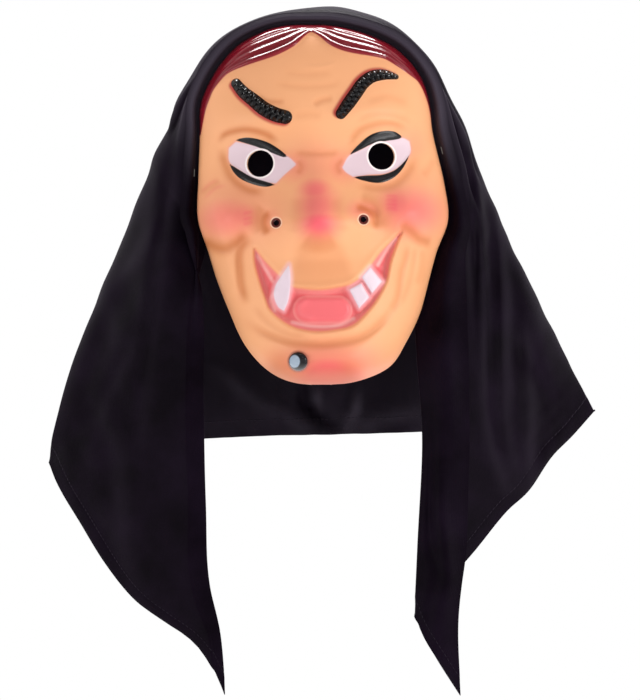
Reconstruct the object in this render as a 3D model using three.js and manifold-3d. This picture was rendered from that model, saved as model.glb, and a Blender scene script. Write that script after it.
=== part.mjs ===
// A witch mask with a black headscarf. Millimetres, +Z up, the face looks along -Y.
// The origin is where the crown of the head meets the underside of the scarf.
import * as THREE from "three";
import { mergeVertices } from "three/addons/utils/BufferGeometryUtils.js";
import Module from "manifold-3d";

const wasm = await Module();
wasm.setup();

// The moulded face
const FACE_WIDTH = 169;
const FACE_HEIGHT = 241;
const FACE_DEPTH = 47; // from the rim to the forehead and the lip
const FACE_WALL = 1.2;
const RIM_BOW = 12; // how far the rim at the cheeks lies behind its top and chin
const NOSE_RISE = 25; // the nose above the face round it
const PUPIL_BORE = 17.8;
const NOSTRIL_BORE = 6.4;
const WART_SIZE = 13;

// The headscarf
const CLOTH = 1.2;
const CROWN_REACH = 55; // from the rim back to the crown
const HOOD_DEPTH = 165; // from the rim back to the hem behind
const BROW_DROP = 10.5; // from the crown down to the top of the face
const CURTAIN_DROP = 462; // from the crown down to the points
const BACK_DROP = 288; // from the crown down to the hem behind
const CORNER_FLARE = 105; // how far a side corner stands out past its front hem
const LAPEL = 33; // width of the hem that is turned outwards
const ROLL = 7; // how far the turned hem stands proud
const TURN_GAP = 4.6; // between the two layers of the turned hem
const TUCK = 5; // how far the scarf reaches in behind the rim
const RIM_CLEARANCE = 1.6; // between the rim and the cloth behind it

// The wire staples
const WIRE = 0.9;
const STAPLE_LENGTH = 5;
const STAPLE_LEG = 3.5;
const STAPLE_SEAT = 0.45; // how far from the rim towards the crest of the turned hem
const WIRE_CLEARANCE = 0.35;

const FACE_ROWS = 44;
const FACE_COLUMNS = 32;
const SCARF_ROWS = 48;
const CURVE_SIDES = 24;

const halfFace = FACE_WIDTH / 2;
const chinZ = -BROW_DROP - FACE_HEIGHT;

const mix = (a, b, f) => a + (b - a) * f;
const clamp01 = (f) => Math.min(Math.max(f, 0), 1);
const ease = (f) => clamp01(f) ** 2 * (3 - 2 * clamp01(f));
const bell = (d) => Math.exp(-0.5 * d * d);

// A smooth curve through the rows of a table: cubic pieces that share their slopes.
function curveThrough(at, value) {
  const last = at.length - 1;
  const slope = at.map((_, i) => {
    const before = Math.max(i - 1, 0);
    const after = Math.min(i + 1, last);
    return (value[after] - value[before]) / (at[after] - at[before]);
  });
  return (x) => {
    let i = 0;
    while (i < last - 1 && x > at[i + 1]) i += 1;
    const step = at[i + 1] - at[i];
    const t = clamp01((x - at[i]) / step);
    const rise = value[i + 1] - value[i];
    const bend = (t - 1) * slope[i] * step + t * slope[i + 1] * step - (2 * t - 1) * rise;
    return value[i] + t * rise + t * (t - 1) * bend;
  };
}

const column = (table, name) => table.map((row) => row[name]);
const tableOf = (names, rows) =>
  rows.map((row) => Object.fromEntries(names.map((name, i) => [name, row[i]])));

// Rounded ends need close rows there, so heights are read as turns of a half circle.
const turnOf = (share) => Math.acos(1 - 2 * clamp01(share));

// The rim: height above the chin as a share of the face's height, reaches as shares of half its width.
const RIM = [
  { height: 0.0, left: 0.09, right: 0.06 },
  { height: 0.014, left: 0.31, right: 0.32 },
  { height: 0.05, left: 0.475, right: 0.53 },
  { height: 0.117, left: 0.632, right: 0.66 },
  { height: 0.198, left: 0.739, right: 0.771 },
  { height: 0.3, left: 0.853, right: 0.851 },
  { height: 0.37, left: 0.914, right: 0.906 },
  { height: 0.46, left: 0.997, right: 0.997 },
  { height: 0.562, left: 0.995, right: 0.966 },
  { height: 0.7, left: 0.98, right: 0.875 },
  { height: 0.776, left: 0.975, right: 0.851 },
  { height: 0.84, left: 0.905, right: 0.8 },
  { height: 0.893, left: 0.811, right: 0.705 },
  { height: 0.943, left: 0.676, right: 0.545 },
  { height: 0.975, left: 0.52, right: 0.345 },
  { height: 0.992, left: 0.385, right: 0.165 },
  { height: 1.0, left: 0.215, right: -0.01 },
];
const rimTurns = column(RIM, "height").map(turnOf);
const rimLeft = curveThrough(rimTurns, column(RIM, "left"));
const rimRight = curveThrough(rimTurns, column(RIM, "right"));

// How far the middle line of the face stands in front of the rim, as shares of its depth.
const PROFILE = [
  { height: 0.0, depth: 0 },
  { height: 0.012, depth: 0.42 },
  { height: 0.04, depth: 0.72 },
  { height: 0.09, depth: 0.88 },
  { height: 0.2, depth: 0.94 },
  { height: 0.35, depth: 1.0 },
  { height: 0.5, depth: 1.0 },
  { height: 0.62, depth: 0.94 },
  { height: 0.75, depth: 0.98 },
  { height: 0.85, depth: 0.86 },
  { height: 0.93, depth: 0.66 },
  { height: 0.98, depth: 0.4 },
  { height: 1.0, depth: 0 },
];
const profile = curveThrough(column(PROFILE, "height").map(turnOf), column(PROFILE, "depth"));

// Round forms of the face. Places are shares of the face's width from its middle and of its height
// from the chin, sizes are shares of its width, rises are shares of the nose's.
const FORMS = [
  { name: "nose bulb", x: -0.024, z: 0.44, wide: 0.092, tall: 0.084, rise: 0.72 },
  { name: "nose bridge", x: -0.028, z: 0.54, wide: 0.066, tall: 0.13, rise: 0.34 },
  { name: "left wing", x: -0.145, z: 0.433, wide: 0.056, tall: 0.054, rise: 0.3 },
  { name: "right wing", x: 0.113, z: 0.447, wide: 0.056, tall: 0.054, rise: 0.3 },
  { name: "under nose", x: -0.02, z: 0.352, wide: 0.09, tall: 0.03, rise: -0.12 },
  { name: "left socket", x: -0.255, z: 0.622, wide: 0.135, tall: 0.085, rise: -0.4 },
  { name: "right socket", x: 0.223, z: 0.635, wide: 0.14, tall: 0.085, rise: -0.4 },
  { name: "left eye", x: -0.245, z: 0.607, wide: 0.085, tall: 0.052, rise: 0.24 },
  { name: "right eye", x: 0.228, z: 0.626, wide: 0.088, tall: 0.055, rise: 0.24 },
  { name: "left brow ridge", x: -0.278, z: 0.72, wide: 0.11, tall: 0.04, rise: 0.14 },
  { name: "right brow ridge", x: 0.192, z: 0.74, wide: 0.11, tall: 0.045, rise: 0.14 },
  { name: "left cheek", x: -0.395, z: 0.46, wide: 0.07, tall: 0.068, rise: 0.38 },
  { name: "right cheek", x: 0.357, z: 0.477, wide: 0.07, tall: 0.068, rise: 0.38 },
  { name: "left jowl", x: -0.38, z: 0.326, wide: 0.032, tall: 0.1, rise: 0.12 },
  { name: "right jowl", x: 0.409, z: 0.337, wide: 0.032, tall: 0.1, rise: 0.12 },
  { name: "chin", x: 0.01, z: 0.062, wide: 0.13, tall: 0.045, rise: 0.22 },
];

// Raised and sunk bands: points along the middle with the half width there, places as above.
const BANDS = [
  {
    name: "left brow",
    path: [[-0.343, 0.823, 0.018], [-0.274, 0.776, 0.024], [-0.141, 0.73, 0.028]],
    soft: 0.03,
    rise: 0.14,
  },
  {
    name: "right brow",
    path: [[0.07, 0.738, 0.022], [0.168, 0.831, 0.024], [0.231, 0.846, 0.02], [0.285, 0.843, 0.006]],
    soft: 0.03,
    rise: 0.14,
  },
  {
    name: "mouth",
    path: [
      [-0.257, 0.352, 0.012],
      [-0.216, 0.27, 0.05],
      [-0.137, 0.218, 0.07],
      [-0.004, 0.204, 0.076],
      [0.113, 0.218, 0.074],
      [0.196, 0.278, 0.058],
      [0.255, 0.34, 0.034],
      [0.3, 0.412, 0.006],
    ],
    soft: 0.045,
    rise: -0.24,
  },
  { name: "tongue", path: [[-0.08, 0.205, 0.045], [0.072, 0.207, 0.045]], soft: 0.045, rise: 0.14 },
  { name: "fang", path: [[-0.139, 0.31, 0.006], [-0.16, 0.222, 0.028]], soft: 0.035, rise: 0.18 },
  { name: "teeth", path: [[0.14, 0.24, 0.036], [0.195, 0.292, 0.034]], soft: 0.035, rise: 0.18 },
  {
    name: "left smile line",
    path: [[-0.284, 0.4, 0.004], [-0.325, 0.374, 0.01], [-0.327, 0.316, 0.01], [-0.3, 0.222, 0.004]],
    soft: 0.034,
    rise: -0.12,
  },
  {
    name: "chin line",
    path: [
      [-0.329, 0.193, 0.004],
      [-0.215, 0.132, 0.012],
      [-0.055, 0.108, 0.012],
      [0.133, 0.123, 0.012],
      [0.238, 0.175, 0.01],
      [0.293, 0.24, 0.004],
    ],
    soft: 0.036,
    rise: -0.14,
  },
  {
    name: "right smile line",
    path: [[0.332, 0.399, 0.006], [0.309, 0.314, 0.01], [0.293, 0.24, 0.006]],
    soft: 0.034,
    rise: -0.12,
  },
  { name: "right jaw line", path: [[0.385, 0.39, 0.004], [0.364, 0.278, 0.004]], soft: 0.034, rise: -0.06 },
  {
    name: "left cheek line",
    path: [[-0.47, 0.42, 0.004], [-0.395, 0.379, 0.008], [-0.285, 0.42, 0.004]],
    soft: 0.034,
    rise: -0.1,
  },
  {
    name: "right cheek line",
    path: [[0.288, 0.442, 0.004], [0.379, 0.402, 0.008], [0.442, 0.393, 0.004]],
    soft: 0.034,
    rise: -0.1,
  },
];

// The lower edge of the moulded hair, from the left temple over the parting to the right temple.
const HAIRLINE = [
  { x: -0.5, z: 0.7 },
  { x: -0.449, z: 0.792 },
  { x: -0.402, z: 0.845 },
  { x: -0.311, z: 0.88 },
  { x: -0.166, z: 0.914 },
  { x: -0.081, z: 0.958 },
  { x: -0.04, z: 0.972 },
  { x: 0.0, z: 0.962 },
  { x: 0.067, z: 0.924 },
  { x: 0.193, z: 0.907 },
  { x: 0.294, z: 0.881 },
  { x: 0.378, z: 0.839 },
  { x: 0.422, z: 0.77 },
  { x: 0.45, z: 0.7 },
];
const hairline = curveThrough(column(HAIRLINE, "x"), column(HAIRLINE, "z"));
const HAIR_RISE = 2.2;
const HAIR_STEP = 5; // the width of the slope along the hairline

const WART = { x: -0.097, z: 0.065 };
const PUPILS = [
  { name: "left", x: -0.247, z: 0.609 },
  { name: "right", x: 0.23, z: 0.629 },
];
const NOSTRILS = [
  { name: "left", x: -0.183, z: 0.444 },
  { name: "right", x: 0.158, z: 0.453 },
];

// Distance in millimetres from a place on the face to the edge of a band, below zero inside it.
function bandDistance(path, x, z) {
  let nearest = Infinity;
  for (let i = 0; i + 1 < path.length; i += 1) {
    const [x0, z0, half0] = path[i];
    const [x1, z1, half1] = path[i + 1];
    const runX = (x1 - x0) * FACE_WIDTH;
    const runZ = (z1 - z0) * FACE_HEIGHT;
    const fromX = (x - x0) * FACE_WIDTH;
    const fromZ = (z - z0) * FACE_HEIGHT;
    const along = clamp01((fromX * runX + fromZ * runZ) / (runX * runX + runZ * runZ));
    const off = Math.hypot(fromX - along * runX, fromZ - along * runZ);
    nearest = Math.min(nearest, off - mix(half0, half1, along) * FACE_WIDTH);
  }
  return nearest;
}

// Everything that stands out of or sinks into the plain dome of the face, in millimetres.
function relief(x, z) {
  let rise = 0;
  for (const form of FORMS) {
    const acrossForm = ((x - form.x) * FACE_WIDTH) / (form.wide * FACE_WIDTH);
    const upForm = ((z - form.z) * FACE_HEIGHT) / (form.tall * FACE_WIDTH);
    rise += form.rise * NOSE_RISE * bell(Math.hypot(acrossForm, upForm));
  }
  for (const band of BANDS) {
    const inside = 0.5 - bandDistance(band.path, x, z) / (band.soft * FACE_WIDTH);
    rise += band.rise * NOSE_RISE * ease(inside);
  }
  rise += HAIR_RISE * ease(0.5 + ((z - hairline(x)) * FACE_HEIGHT) / HAIR_STEP);
  const fromWart = Math.hypot((x - WART.x) * FACE_WIDTH, (z - WART.z) * FACE_HEIGHT);
  return rise + 0.4 * WART_SIZE * bell((fromWart * 2.6) / WART_SIZE);
}

// The rim behind the face bows back at the cheeks.
const bowAt = (height) => RIM_BOW * Math.sin(Math.PI * clamp01(height));

// A point of the face's front, by its height share and its place between the two rims, -1 to 1.
function facePoint(height, across) {
  const turn = turnOf(height);
  const x = mix(-rimLeft(turn), rimRight(turn), (across + 1) / 2);
  const z = chinZ + height * FACE_HEIGHT;
  const dome = FACE_DEPTH * profile(turn) * (1 - Math.abs(across) ** 2.5) ** 0.62;
  const settled = ease((1 - Math.abs(across)) * 6) * ease(profile(turn) * 2.5);
  const y = -dome - relief(x / 2, height) * settled + bowAt(height) * across * across;
  return new THREE.Vector3(x * halfFace, y, z);
}

// The closed solid of a sheet: a grid of points, a wall on the side that its normals leave.
function sheetGeometry(grid, frontShare, wall) {
  const rows = grid.length;
  const columns = grid[0].length;
  const positions = [];
  const along = new THREE.Vector3();
  const over = new THREE.Vector3();
  for (const layer of [frontShare, frontShare - 1]) {
    for (let i = 0; i < rows; i += 1) {
      for (let j = 0; j < columns; j += 1) {
        along.subVectors(grid[Math.min(i + 1, rows - 1)][j], grid[Math.max(i - 1, 0)][j]);
        over.subVectors(grid[i][Math.min(j + 1, columns - 1)], grid[i][Math.max(j - 1, 0)]);
        const normal = over.clone().cross(along).normalize();
        positions.push(...grid[i][j].clone().addScaledVector(normal, layer * wall).toArray());
      }
    }
  }
  const faces = [];
  const front = (i, j) => i * columns + j;
  const back = (i, j) => rows * columns + front(i, j);
  const quad = (a, b, c, d) => faces.push(a, b, c, a, c, d);
  for (let i = 0; i + 1 < rows; i += 1) {
    for (let j = 0; j + 1 < columns; j += 1) {
      quad(front(i, j), front(i, j + 1), front(i + 1, j + 1), front(i + 1, j));
      quad(back(i, j), back(i + 1, j), back(i + 1, j + 1), back(i, j + 1));
    }
  }
  for (let i = 0; i + 1 < rows; i += 1) {
    quad(front(i, 0), front(i + 1, 0), back(i + 1, 0), back(i, 0));
    const j = columns - 1;
    quad(front(i, j), back(i, j), back(i + 1, j), front(i + 1, j));
  }
  for (let j = 0; j + 1 < columns; j += 1) {
    quad(front(0, j), back(0, j), back(0, j + 1), front(0, j + 1));
    const i = rows - 1;
    quad(front(i, j), front(i, j + 1), back(i, j + 1), back(i, j));
  }
  const geometry = new THREE.BufferGeometry();
  geometry.setAttribute("position", new THREE.Float32BufferAttribute(positions, 3));
  geometry.setIndex(faces);
  return geometry;
}

function solidOf(geometry) {
  const bare = new THREE.BufferGeometry();
  bare.setAttribute("position", geometry.getAttribute("position").clone());
  if (geometry.index) bare.setIndex(geometry.index.clone());
  const merged = mergeVertices(bare, 1e-4);
  const mesh = new wasm.Mesh({
    numProp: 3,
    vertProperties: merged.getAttribute("position").array,
    triVerts: new Uint32Array(merged.index.array),
  });
  return new wasm.Manifold(mesh);
}

function geometryOf(solid) {
  const mesh = solid.getMesh();
  const geometry = new THREE.BufferGeometry();
  geometry.setAttribute("position", new THREE.Float32BufferAttribute(mesh.vertProperties, 3));
  geometry.setIndex(Array.from(mesh.triVerts));
  return geometry;
}

// A round bar along Y, long enough to pass right through the face.
function boreAt(place, bore) {
  const length = 2 * (FACE_DEPTH + NOSE_RISE + RIM_BOW);
  const geometry = new THREE.CylinderGeometry(bore / 2, bore / 2, length, CURVE_SIDES);
  geometry.translate(place.x * FACE_WIDTH, 0, chinZ + place.z * FACE_HEIGHT);
  return solidOf(geometry);
}

// The face: a dome with its relief, one wall thick, cut out at the pupils and the nostrils.
function makeFace() {
  const grid = [];
  for (let i = 0; i <= FACE_ROWS; i += 1) {
    const height = mix((1 - Math.cos((Math.PI * i) / FACE_ROWS)) / 2, i / FACE_ROWS, 0.6);
    const row = [];
    for (let j = 0; j <= FACE_COLUMNS; j += 1) {
      const even = (2 * j) / FACE_COLUMNS - 1;
      row.push(facePoint(height, mix(Math.sin((Math.PI / 2) * even), even, 0.6)));
    }
    grid.push(row);
  }
  let solid = solidOf(sheetGeometry(grid, 0, FACE_WALL));
  for (const pupil of PUPILS) solid = solid.subtract(boreAt(pupil, PUPIL_BORE));
  for (const nostril of NOSTRILS) solid = solid.subtract(boreAt(nostril, NOSTRIL_BORE));
  return geometryOf(solid);
}

// Stations along the scarf's front hem, from the left point over the top to the right point.
// Where the hem follows the rim, height is the rim's share; in the curtains, drop is a share of
// their drop and reach one of half the face. From that line the hem turns outwards by shares of
// the lapel. The side of the hood lies out by a share of the flare, down by a share of the drop
// and back by a share of the depth. Turned is 1 where the hem is turned outwards, and full is how
// round the cloth goes from front to side.
const LEFT = -1;
const RIGHT = 1;
const STATIONS = tableOf(
  ["side", "height", "drop", "reach", "turned", "lapOut", "lapUp", "out", "down", "back", "full"],
  [
    [LEFT, null, 0.967, 0.872, 0, -0.24, -0.38, 1.115, 0.665, 0.61, 0.3],
    [LEFT, null, 0.857, 0.975, 0, -0.29, -0.44, 0.974, 0.611, 0.59, 0.35],
    [LEFT, null, 0.712, 1.031, 0, -0.27, -0.2, 0.815, 0.518, 0.57, 0.45],
    [LEFT, null, 0.567, 1.055, 0, -0.28, -0.04, 0.609, 0.411, 0.53, 0.6],
    [LEFT, null, 0.416, 1.02, 0.2, -0.16, 0, 0.42, 0.293, 0.48, 0.75],
    [LEFT, 0.42, null, null, 1, 0.32, 0.04, 0.345, 0.225, 0.45, 0.9],
    [LEFT, 0.545, null, null, 1, 0.31, 0.07, 0.244, 0.188, 0.42, 1],
    [LEFT, 0.707, null, null, 1, 0.27, 0.11, 0.198, 0.15, 0.4, 1],
    [LEFT, 0.812, null, null, 1, 0.26, 0.15, 0.152, 0.106, 0.38, 1],
    [LEFT, 0.943, null, null, 1, 0.2, 0.21, 0.08, 0.033, 0.35, 1],
    [RIGHT, 1.0, null, null, 1, 0.02, 0.24, 0.05, 0, 0.33, 1],
    [RIGHT, 0.943, null, null, 1, 0.2, 0.23, 0.06, 0.018, 0.35, 1],
    [RIGHT, 0.848, null, null, 1, 0.28, 0.13, 0.131, 0.072, 0.38, 1],
    [RIGHT, 0.709, null, null, 1, 0.32, 0.09, 0.231, 0.159, 0.4, 1],
    [RIGHT, 0.554, null, null, 1, 0.38, -0.03, 0.26, 0.245, 0.42, 1],
    [RIGHT, 0.414, null, null, 1, 0.5, -0.11, 0.392, 0.298, 0.45, 0.9],
    [RIGHT, 0.234, null, null, 1, 0.87, -0.1, 0.666, 0.377, 0.48, 0.75],
    [RIGHT, null, 0.494, 0.745, 1, 1.05, -0.51, 0.858, 0.445, 0.52, 0.65],
    [RIGHT, null, 0.625, 0.793, 1, 0.93, -0.81, 0.995, 0.526, 0.57, 0.5],
    [RIGHT, null, 0.777, 0.753, 1, 0.93, -1.11, 1.127, 0.569, 0.59, 0.4],
    [RIGHT, null, 0.881, 0.729, 1, 0.94, -1.59, 1.194, 0.589, 0.61, 0.35],
  ],
);

// Folds of the hanging cloth: ridges, or valleys below zero, along a line in the front view.
// Places are shares of the curtains' drop, so is the width; the rise is a share of the roll.
const CLOTH_FOLDS = [
  { name: "left ridge", path: [[-0.23, 0.2], [-0.245, 0.4], [-0.27, 0.58]], wide: 0.022, rise: 0.7 },
  { name: "left valley", path: [[-0.235, 0.3], [-0.34, 0.5], [-0.36, 0.66]], wide: 0.028, rise: -0.7 },
  { name: "left outer ridge", path: [[-0.3, 0.32], [-0.4, 0.6]], wide: 0.02, rise: 0.5 },
  { name: "left point fold", path: [[-0.22, 0.62], [-0.19, 0.9]], wide: 0.022, rise: 0.6 },
  { name: "right ridge", path: [[0.225, 0.21], [0.235, 0.5], [0.25, 0.7]], wide: 0.02, rise: 0.9 },
  { name: "right valley", path: [[0.26, 0.28], [0.275, 0.5], [0.28, 0.66]], wide: 0.024, rise: -0.7 },
  { name: "right outer ridge", path: [[0.29, 0.34], [0.34, 0.58]], wide: 0.022, rise: 0.6 },
];

// Soft upright folds down the back, deeper towards the hem.
const BACK_FOLDS = 7;
const BACK_FOLD_RISE = 4;

const HEM_SPREAD = 0.32; // how far the hem behind comes forward at its corners, share of the depth
const HEM_LIFT = 14; // how much higher its right corner lies, and lower its left one
const HEM_TILT = 0.02;

// The rim as one line, by an angle that is 0 at its top, below zero on the left side.
const TOP_ANGLE = 0.1; // the nearly level stretch at the top, each way
function rimPoint(angle) {
  if (Math.abs(angle) < TOP_ANGLE) return facePoint(1, angle / TOP_ANGLE);
  const turn = Math.PI - (Math.abs(angle) - TOP_ANGLE);
  return facePoint((1 - Math.cos(turn)) / 2, Math.sign(angle));
}
function rimAngle(row) {
  return row.height === 1 ? 0 : row.side * (TOP_ANGLE + Math.PI - turnOf(row.height));
}

// Where one station's hem turns.
function stationLine(row) {
  if (row.height !== null) return rimPoint(rimAngle(row));
  return new THREE.Vector3(row.side * row.reach * halfFace, 0, -row.drop * CURTAIN_DROP);
}

// The eleven points that the cloth passes through at one place of the front hem, from its free
// edge to the hem behind. The row holds the place's values, hem is -1 at the left corner behind.
function clothPoints(row, hem) {
  const { at, tucked, turned } = row;
  const halfHood = halfFace + CORNER_FLARE;
  const side = new THREE.Vector3(
    at.x + row.out * CORNER_FLARE,
    row.back * HOOD_DEPTH,
    CLOTH / 2 - row.down * CURTAIN_DROP,
  );
  const outward = new THREE.Vector3(side.x - at.x, 0, side.z - at.z).normalize();
  const fold = at.clone().addScaledVector(outward, -tucked * TUCK);
  fold.y = at.y + tucked * (RIM_CLEARANCE + CLOTH / 2);
  const edge = at.clone().add(new THREE.Vector3(row.lapOut * LAPEL, 0, row.lapUp * LAPEL));
  edge.y = fold.y - turned * ROLL * 0.55;
  const crest = edge.clone().lerp(at, 0.5);
  crest.y = fold.y - turned * ROLL;
  const passing = at.clone().lerp(edge, 0.14);
  passing.lerp(at.clone().addScaledVector(outward, RIM_CLEARANCE), tucked);
  passing.y = fold.y - (1 - tucked) * turned * 1.5;
  const turnBack = fold.clone();
  turnBack.y += (turned * TURN_GAP) / 2;
  const inner = at.clone().addScaledVector(outward, mix(TUCK, -TUCK / 2, tucked));
  inner.y = fold.y + turned * TURN_GAP;
  const points = [edge, crest, passing, turnBack, inner];
  for (const share of [0.3, 0.65]) {
    const angle = (share * Math.PI) / 2;
    const point = inner.clone().lerp(side, mix(share, Math.sin(angle), row.full));
    point.y = mix(inner.y, side.y, mix(share, 1 - Math.cos(angle), row.full));
    points.push(point);
  }
  const behind = new THREE.Vector3(
    hem * halfHood,
    HOOD_DEPTH * (1 - HEM_SPREAD * hem * hem),
    -BACK_DROP + HEM_LIFT * hem ** 3 + HEM_TILT * hem * halfHood,
  );
  points.push(side);
  for (const share of [0.3, 0.65]) {
    const angle = (share * Math.PI) / 2;
    const point = side.clone().lerp(behind, 1 - Math.cos(angle));
    point.y = mix(side.y, behind.y, Math.sin(angle));
    points.push(point);
  }
  points.push(behind);
  return points;
}

// How far a fold lifts the cloth at a place in the front view.
function foldRise(point) {
  let rise = 0;
  for (const fold of CLOTH_FOLDS) {
    let near = Infinity;
    let share = 0;
    fold.path.slice(1).forEach(([x1, z1], i) => {
      const [x0, z0] = fold.path[i];
      const runX = (x1 - x0) * CURTAIN_DROP;
      const runZ = (z0 - z1) * CURTAIN_DROP;
      const fromX = point.x - x0 * CURTAIN_DROP;
      const fromZ = point.z + z0 * CURTAIN_DROP;
      const along = clamp01((fromX * runX + fromZ * runZ) / (runX * runX + runZ * runZ));
      const off = Math.hypot(fromX - along * runX, fromZ - along * runZ);
      if (off < near) {
        near = off;
        share = (i + along) / (fold.path.length - 1);
      }
    });
    const ends = 0.25 + 0.75 * Math.sin(Math.PI * clamp01(share));
    rise += fold.rise * ROLL * ends * bell((near * 1.4) / (fold.wide * CURTAIN_DROP));
  }
  return rise;
}

const PIECES_PER_SPAN = [2, 2, 1, 1, 2, 3, 3, 3, 3, 4];
const SIDE_SPAN = 7; // the seventh span ends at the side of the hood

// The values of the station table at any place of the front hem, as smooth curves.
function hemCurves() {
  const lines = STATIONS.map(stationLine);
  const knots = [0];
  for (let i = 1; i < lines.length; i += 1) {
    knots.push(knots[i - 1] + Math.max(lines[i].distanceTo(lines[i - 1]), 1));
  }
  const through = (value) => curveThrough(knots, STATIONS.map(value));
  const free = ["x", "y", "z"].map((axis) => curveThrough(knots, lines.map((p) => p[axis])));
  const onRim = STATIONS.map((row, i) => ({ at: knots[i], row })).filter(({ row }) => row.height !== null);
  const angle = curveThrough(column(onRim, "at"), onRim.map(({ row }) => rimAngle(row)));
  const rimStart = onRim[0].at;
  const rimEnd = onRim[onRim.length - 1].at;
  const curves = {
    tucked: through((row) => (row.height === null ? 0 : 1)),
    turned: through((row) => row.turned),
    lapOut: through((row) => row.side * row.lapOut),
    lapUp: through((row) => row.lapUp),
    out: through((row) => row.side * row.out),
    down: through((row) => row.down),
    back: through((row) => row.back),
    full: through((row) => row.full),
  };
  return {
    total: knots[knots.length - 1],
    rowAt(s) {
      const row = Object.fromEntries(Object.entries(curves).map(([name, curve]) => [name, curve(s)]));
      const onTheRim = s >= rimStart && s <= rimEnd;
      row.at = onTheRim ? rimPoint(angle(s)) : new THREE.Vector3(...free.map((curve) => curve(s)));
      return row;
    },
  };
}

function scarfGrid() {
  const hem = hemCurves();
  const grid = [];
  for (let i = 0; i <= SCARF_ROWS; i += 1) {
    const share = i / SCARF_ROWS;
    const points = clothPoints(hem.rowAt(share * hem.total), 2 * share - 1);
    const lengths = [0];
    for (let k = 1; k < points.length; k += 1) {
      lengths.push(lengths[k - 1] + Math.max(points[k].distanceTo(points[k - 1]), 0.5));
    }
    const curves = ["x", "y", "z"].map((axis) => curveThrough(lengths, points.map((p) => p[axis])));
    const row = [];
    PIECES_PER_SPAN.forEach((pieces, k) => {
      for (let n = k === 0 ? 0 : 1; n <= pieces; n += 1) {
        const reach = mix(lengths[k], lengths[k + 1], n / pieces);
        const point = new THREE.Vector3(...curves.map((curve) => curve(reach)));
        const span = k + n / pieces;
        const onSide = ease((span - 4.5) / 1.5) * ease((SIDE_SPAN + 0.6 - span) / 1.5);
        point.y -= onSide * foldRise(point);
        const onBack = ease((span - SIDE_SPAN) / 3);
        point.y += onBack * BACK_FOLD_RISE * Math.cos(2 * Math.PI * BACK_FOLDS * share);
        row.push(point);
      }
    });
    grid.push(row);
  }
  return grid;
}

// The staples sit on the turned hem beside the rim, at a share of the front hem's length.
const STAPLES = [
  { name: "left", along: 0.362 },
  { name: "right", along: 0.662 },
];

// A staple's crown and two legs as one solid, every side grown by the clearance.
function stapleSolid(row, clearance) {
  const hem = hemCurves();
  const step = STAPLE_LENGTH / 2;
  const lift = new THREE.Vector3(0, -(CLOTH / 2 + WIRE_CLEARANCE + WIRE / 2), 0);
  const seatAt = (s) => {
    const [, crest, passing] = clothPoints(hem.rowAt(s), 0);
    return passing.lerp(crest, STAPLE_SEAT).add(lift);
  };
  const middle = row.along * hem.total;
  const upper = seatAt(middle + step);
  const along = upper.sub(seatAt(middle - step)).normalize();
  const back = new THREE.Vector3(0, 1, 0).addScaledVector(along, -along.y).normalize();
  const frame = new THREE.Matrix4().makeBasis(back.clone().cross(along), back, along);
  frame.setPosition(seatAt(middle));
  const size = WIRE + 2 * clearance;
  const crown = new THREE.BoxGeometry(size, size, STAPLE_LENGTH + 2 * clearance);
  let solid = solidOf(crown.applyMatrix4(frame));
  for (const end of [-1, 1]) {
    const leg = new THREE.BoxGeometry(size, STAPLE_LEG + 2 * clearance, size);
    leg.translate(0, (STAPLE_LEG - WIRE) / 2, (end * (STAPLE_LENGTH - WIRE)) / 2);
    solid = solid.add(solidOf(leg.applyMatrix4(frame)));
  }
  return solid;
}

// The scarf: one sheet, with holes where the staples' legs go through it.
function makeScarf() {
  let solid = solidOf(sheetGeometry(scarfGrid(), 0.5, CLOTH));
  for (const row of STAPLES) solid = solid.subtract(stapleSolid(row, WIRE_CLEARANCE));
  return geometryOf(solid);
}

const plastic = new THREE.MeshStandardMaterial({ color: 0xf2ac79, roughness: 0.45, side: THREE.DoubleSide });
const cloth = new THREE.MeshStandardMaterial({ color: 0x14101a, roughness: 0.95, side: THREE.DoubleSide });
const steel = new THREE.MeshStandardMaterial({ color: 0xc9c4c0, roughness: 0.35, metalness: 1 });

function addMesh(group, name, geometry, material) {
  geometry.computeVertexNormals();
  const mesh = new THREE.Mesh(geometry, material);
  mesh.name = name;
  group.add(mesh);
}

// The rim's own frame stands in front of the crown, where the part's origin is.
const mask = new THREE.Group();
mask.position.y = -CROWN_REACH;
addMesh(mask, "face_shell", makeFace(), plastic);
addMesh(mask, "headscarf", makeScarf(), cloth);
for (const row of STAPLES) addMesh(mask, "staple_" + row.name, geometryOf(stapleSolid(row, 0)), steel);

const root = new THREE.Group();
root.add(mask);
export default root;
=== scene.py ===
# %% [markdown]
# This lesson dresses a witch mask: a thin plastic face, moulded over a form and painted with spray
# guns and stencils, with a black cloth headscarf fastened along its rim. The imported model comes
# first, as a fixed frame in metres. Everything made here is laid over it and moves nothing.

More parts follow.
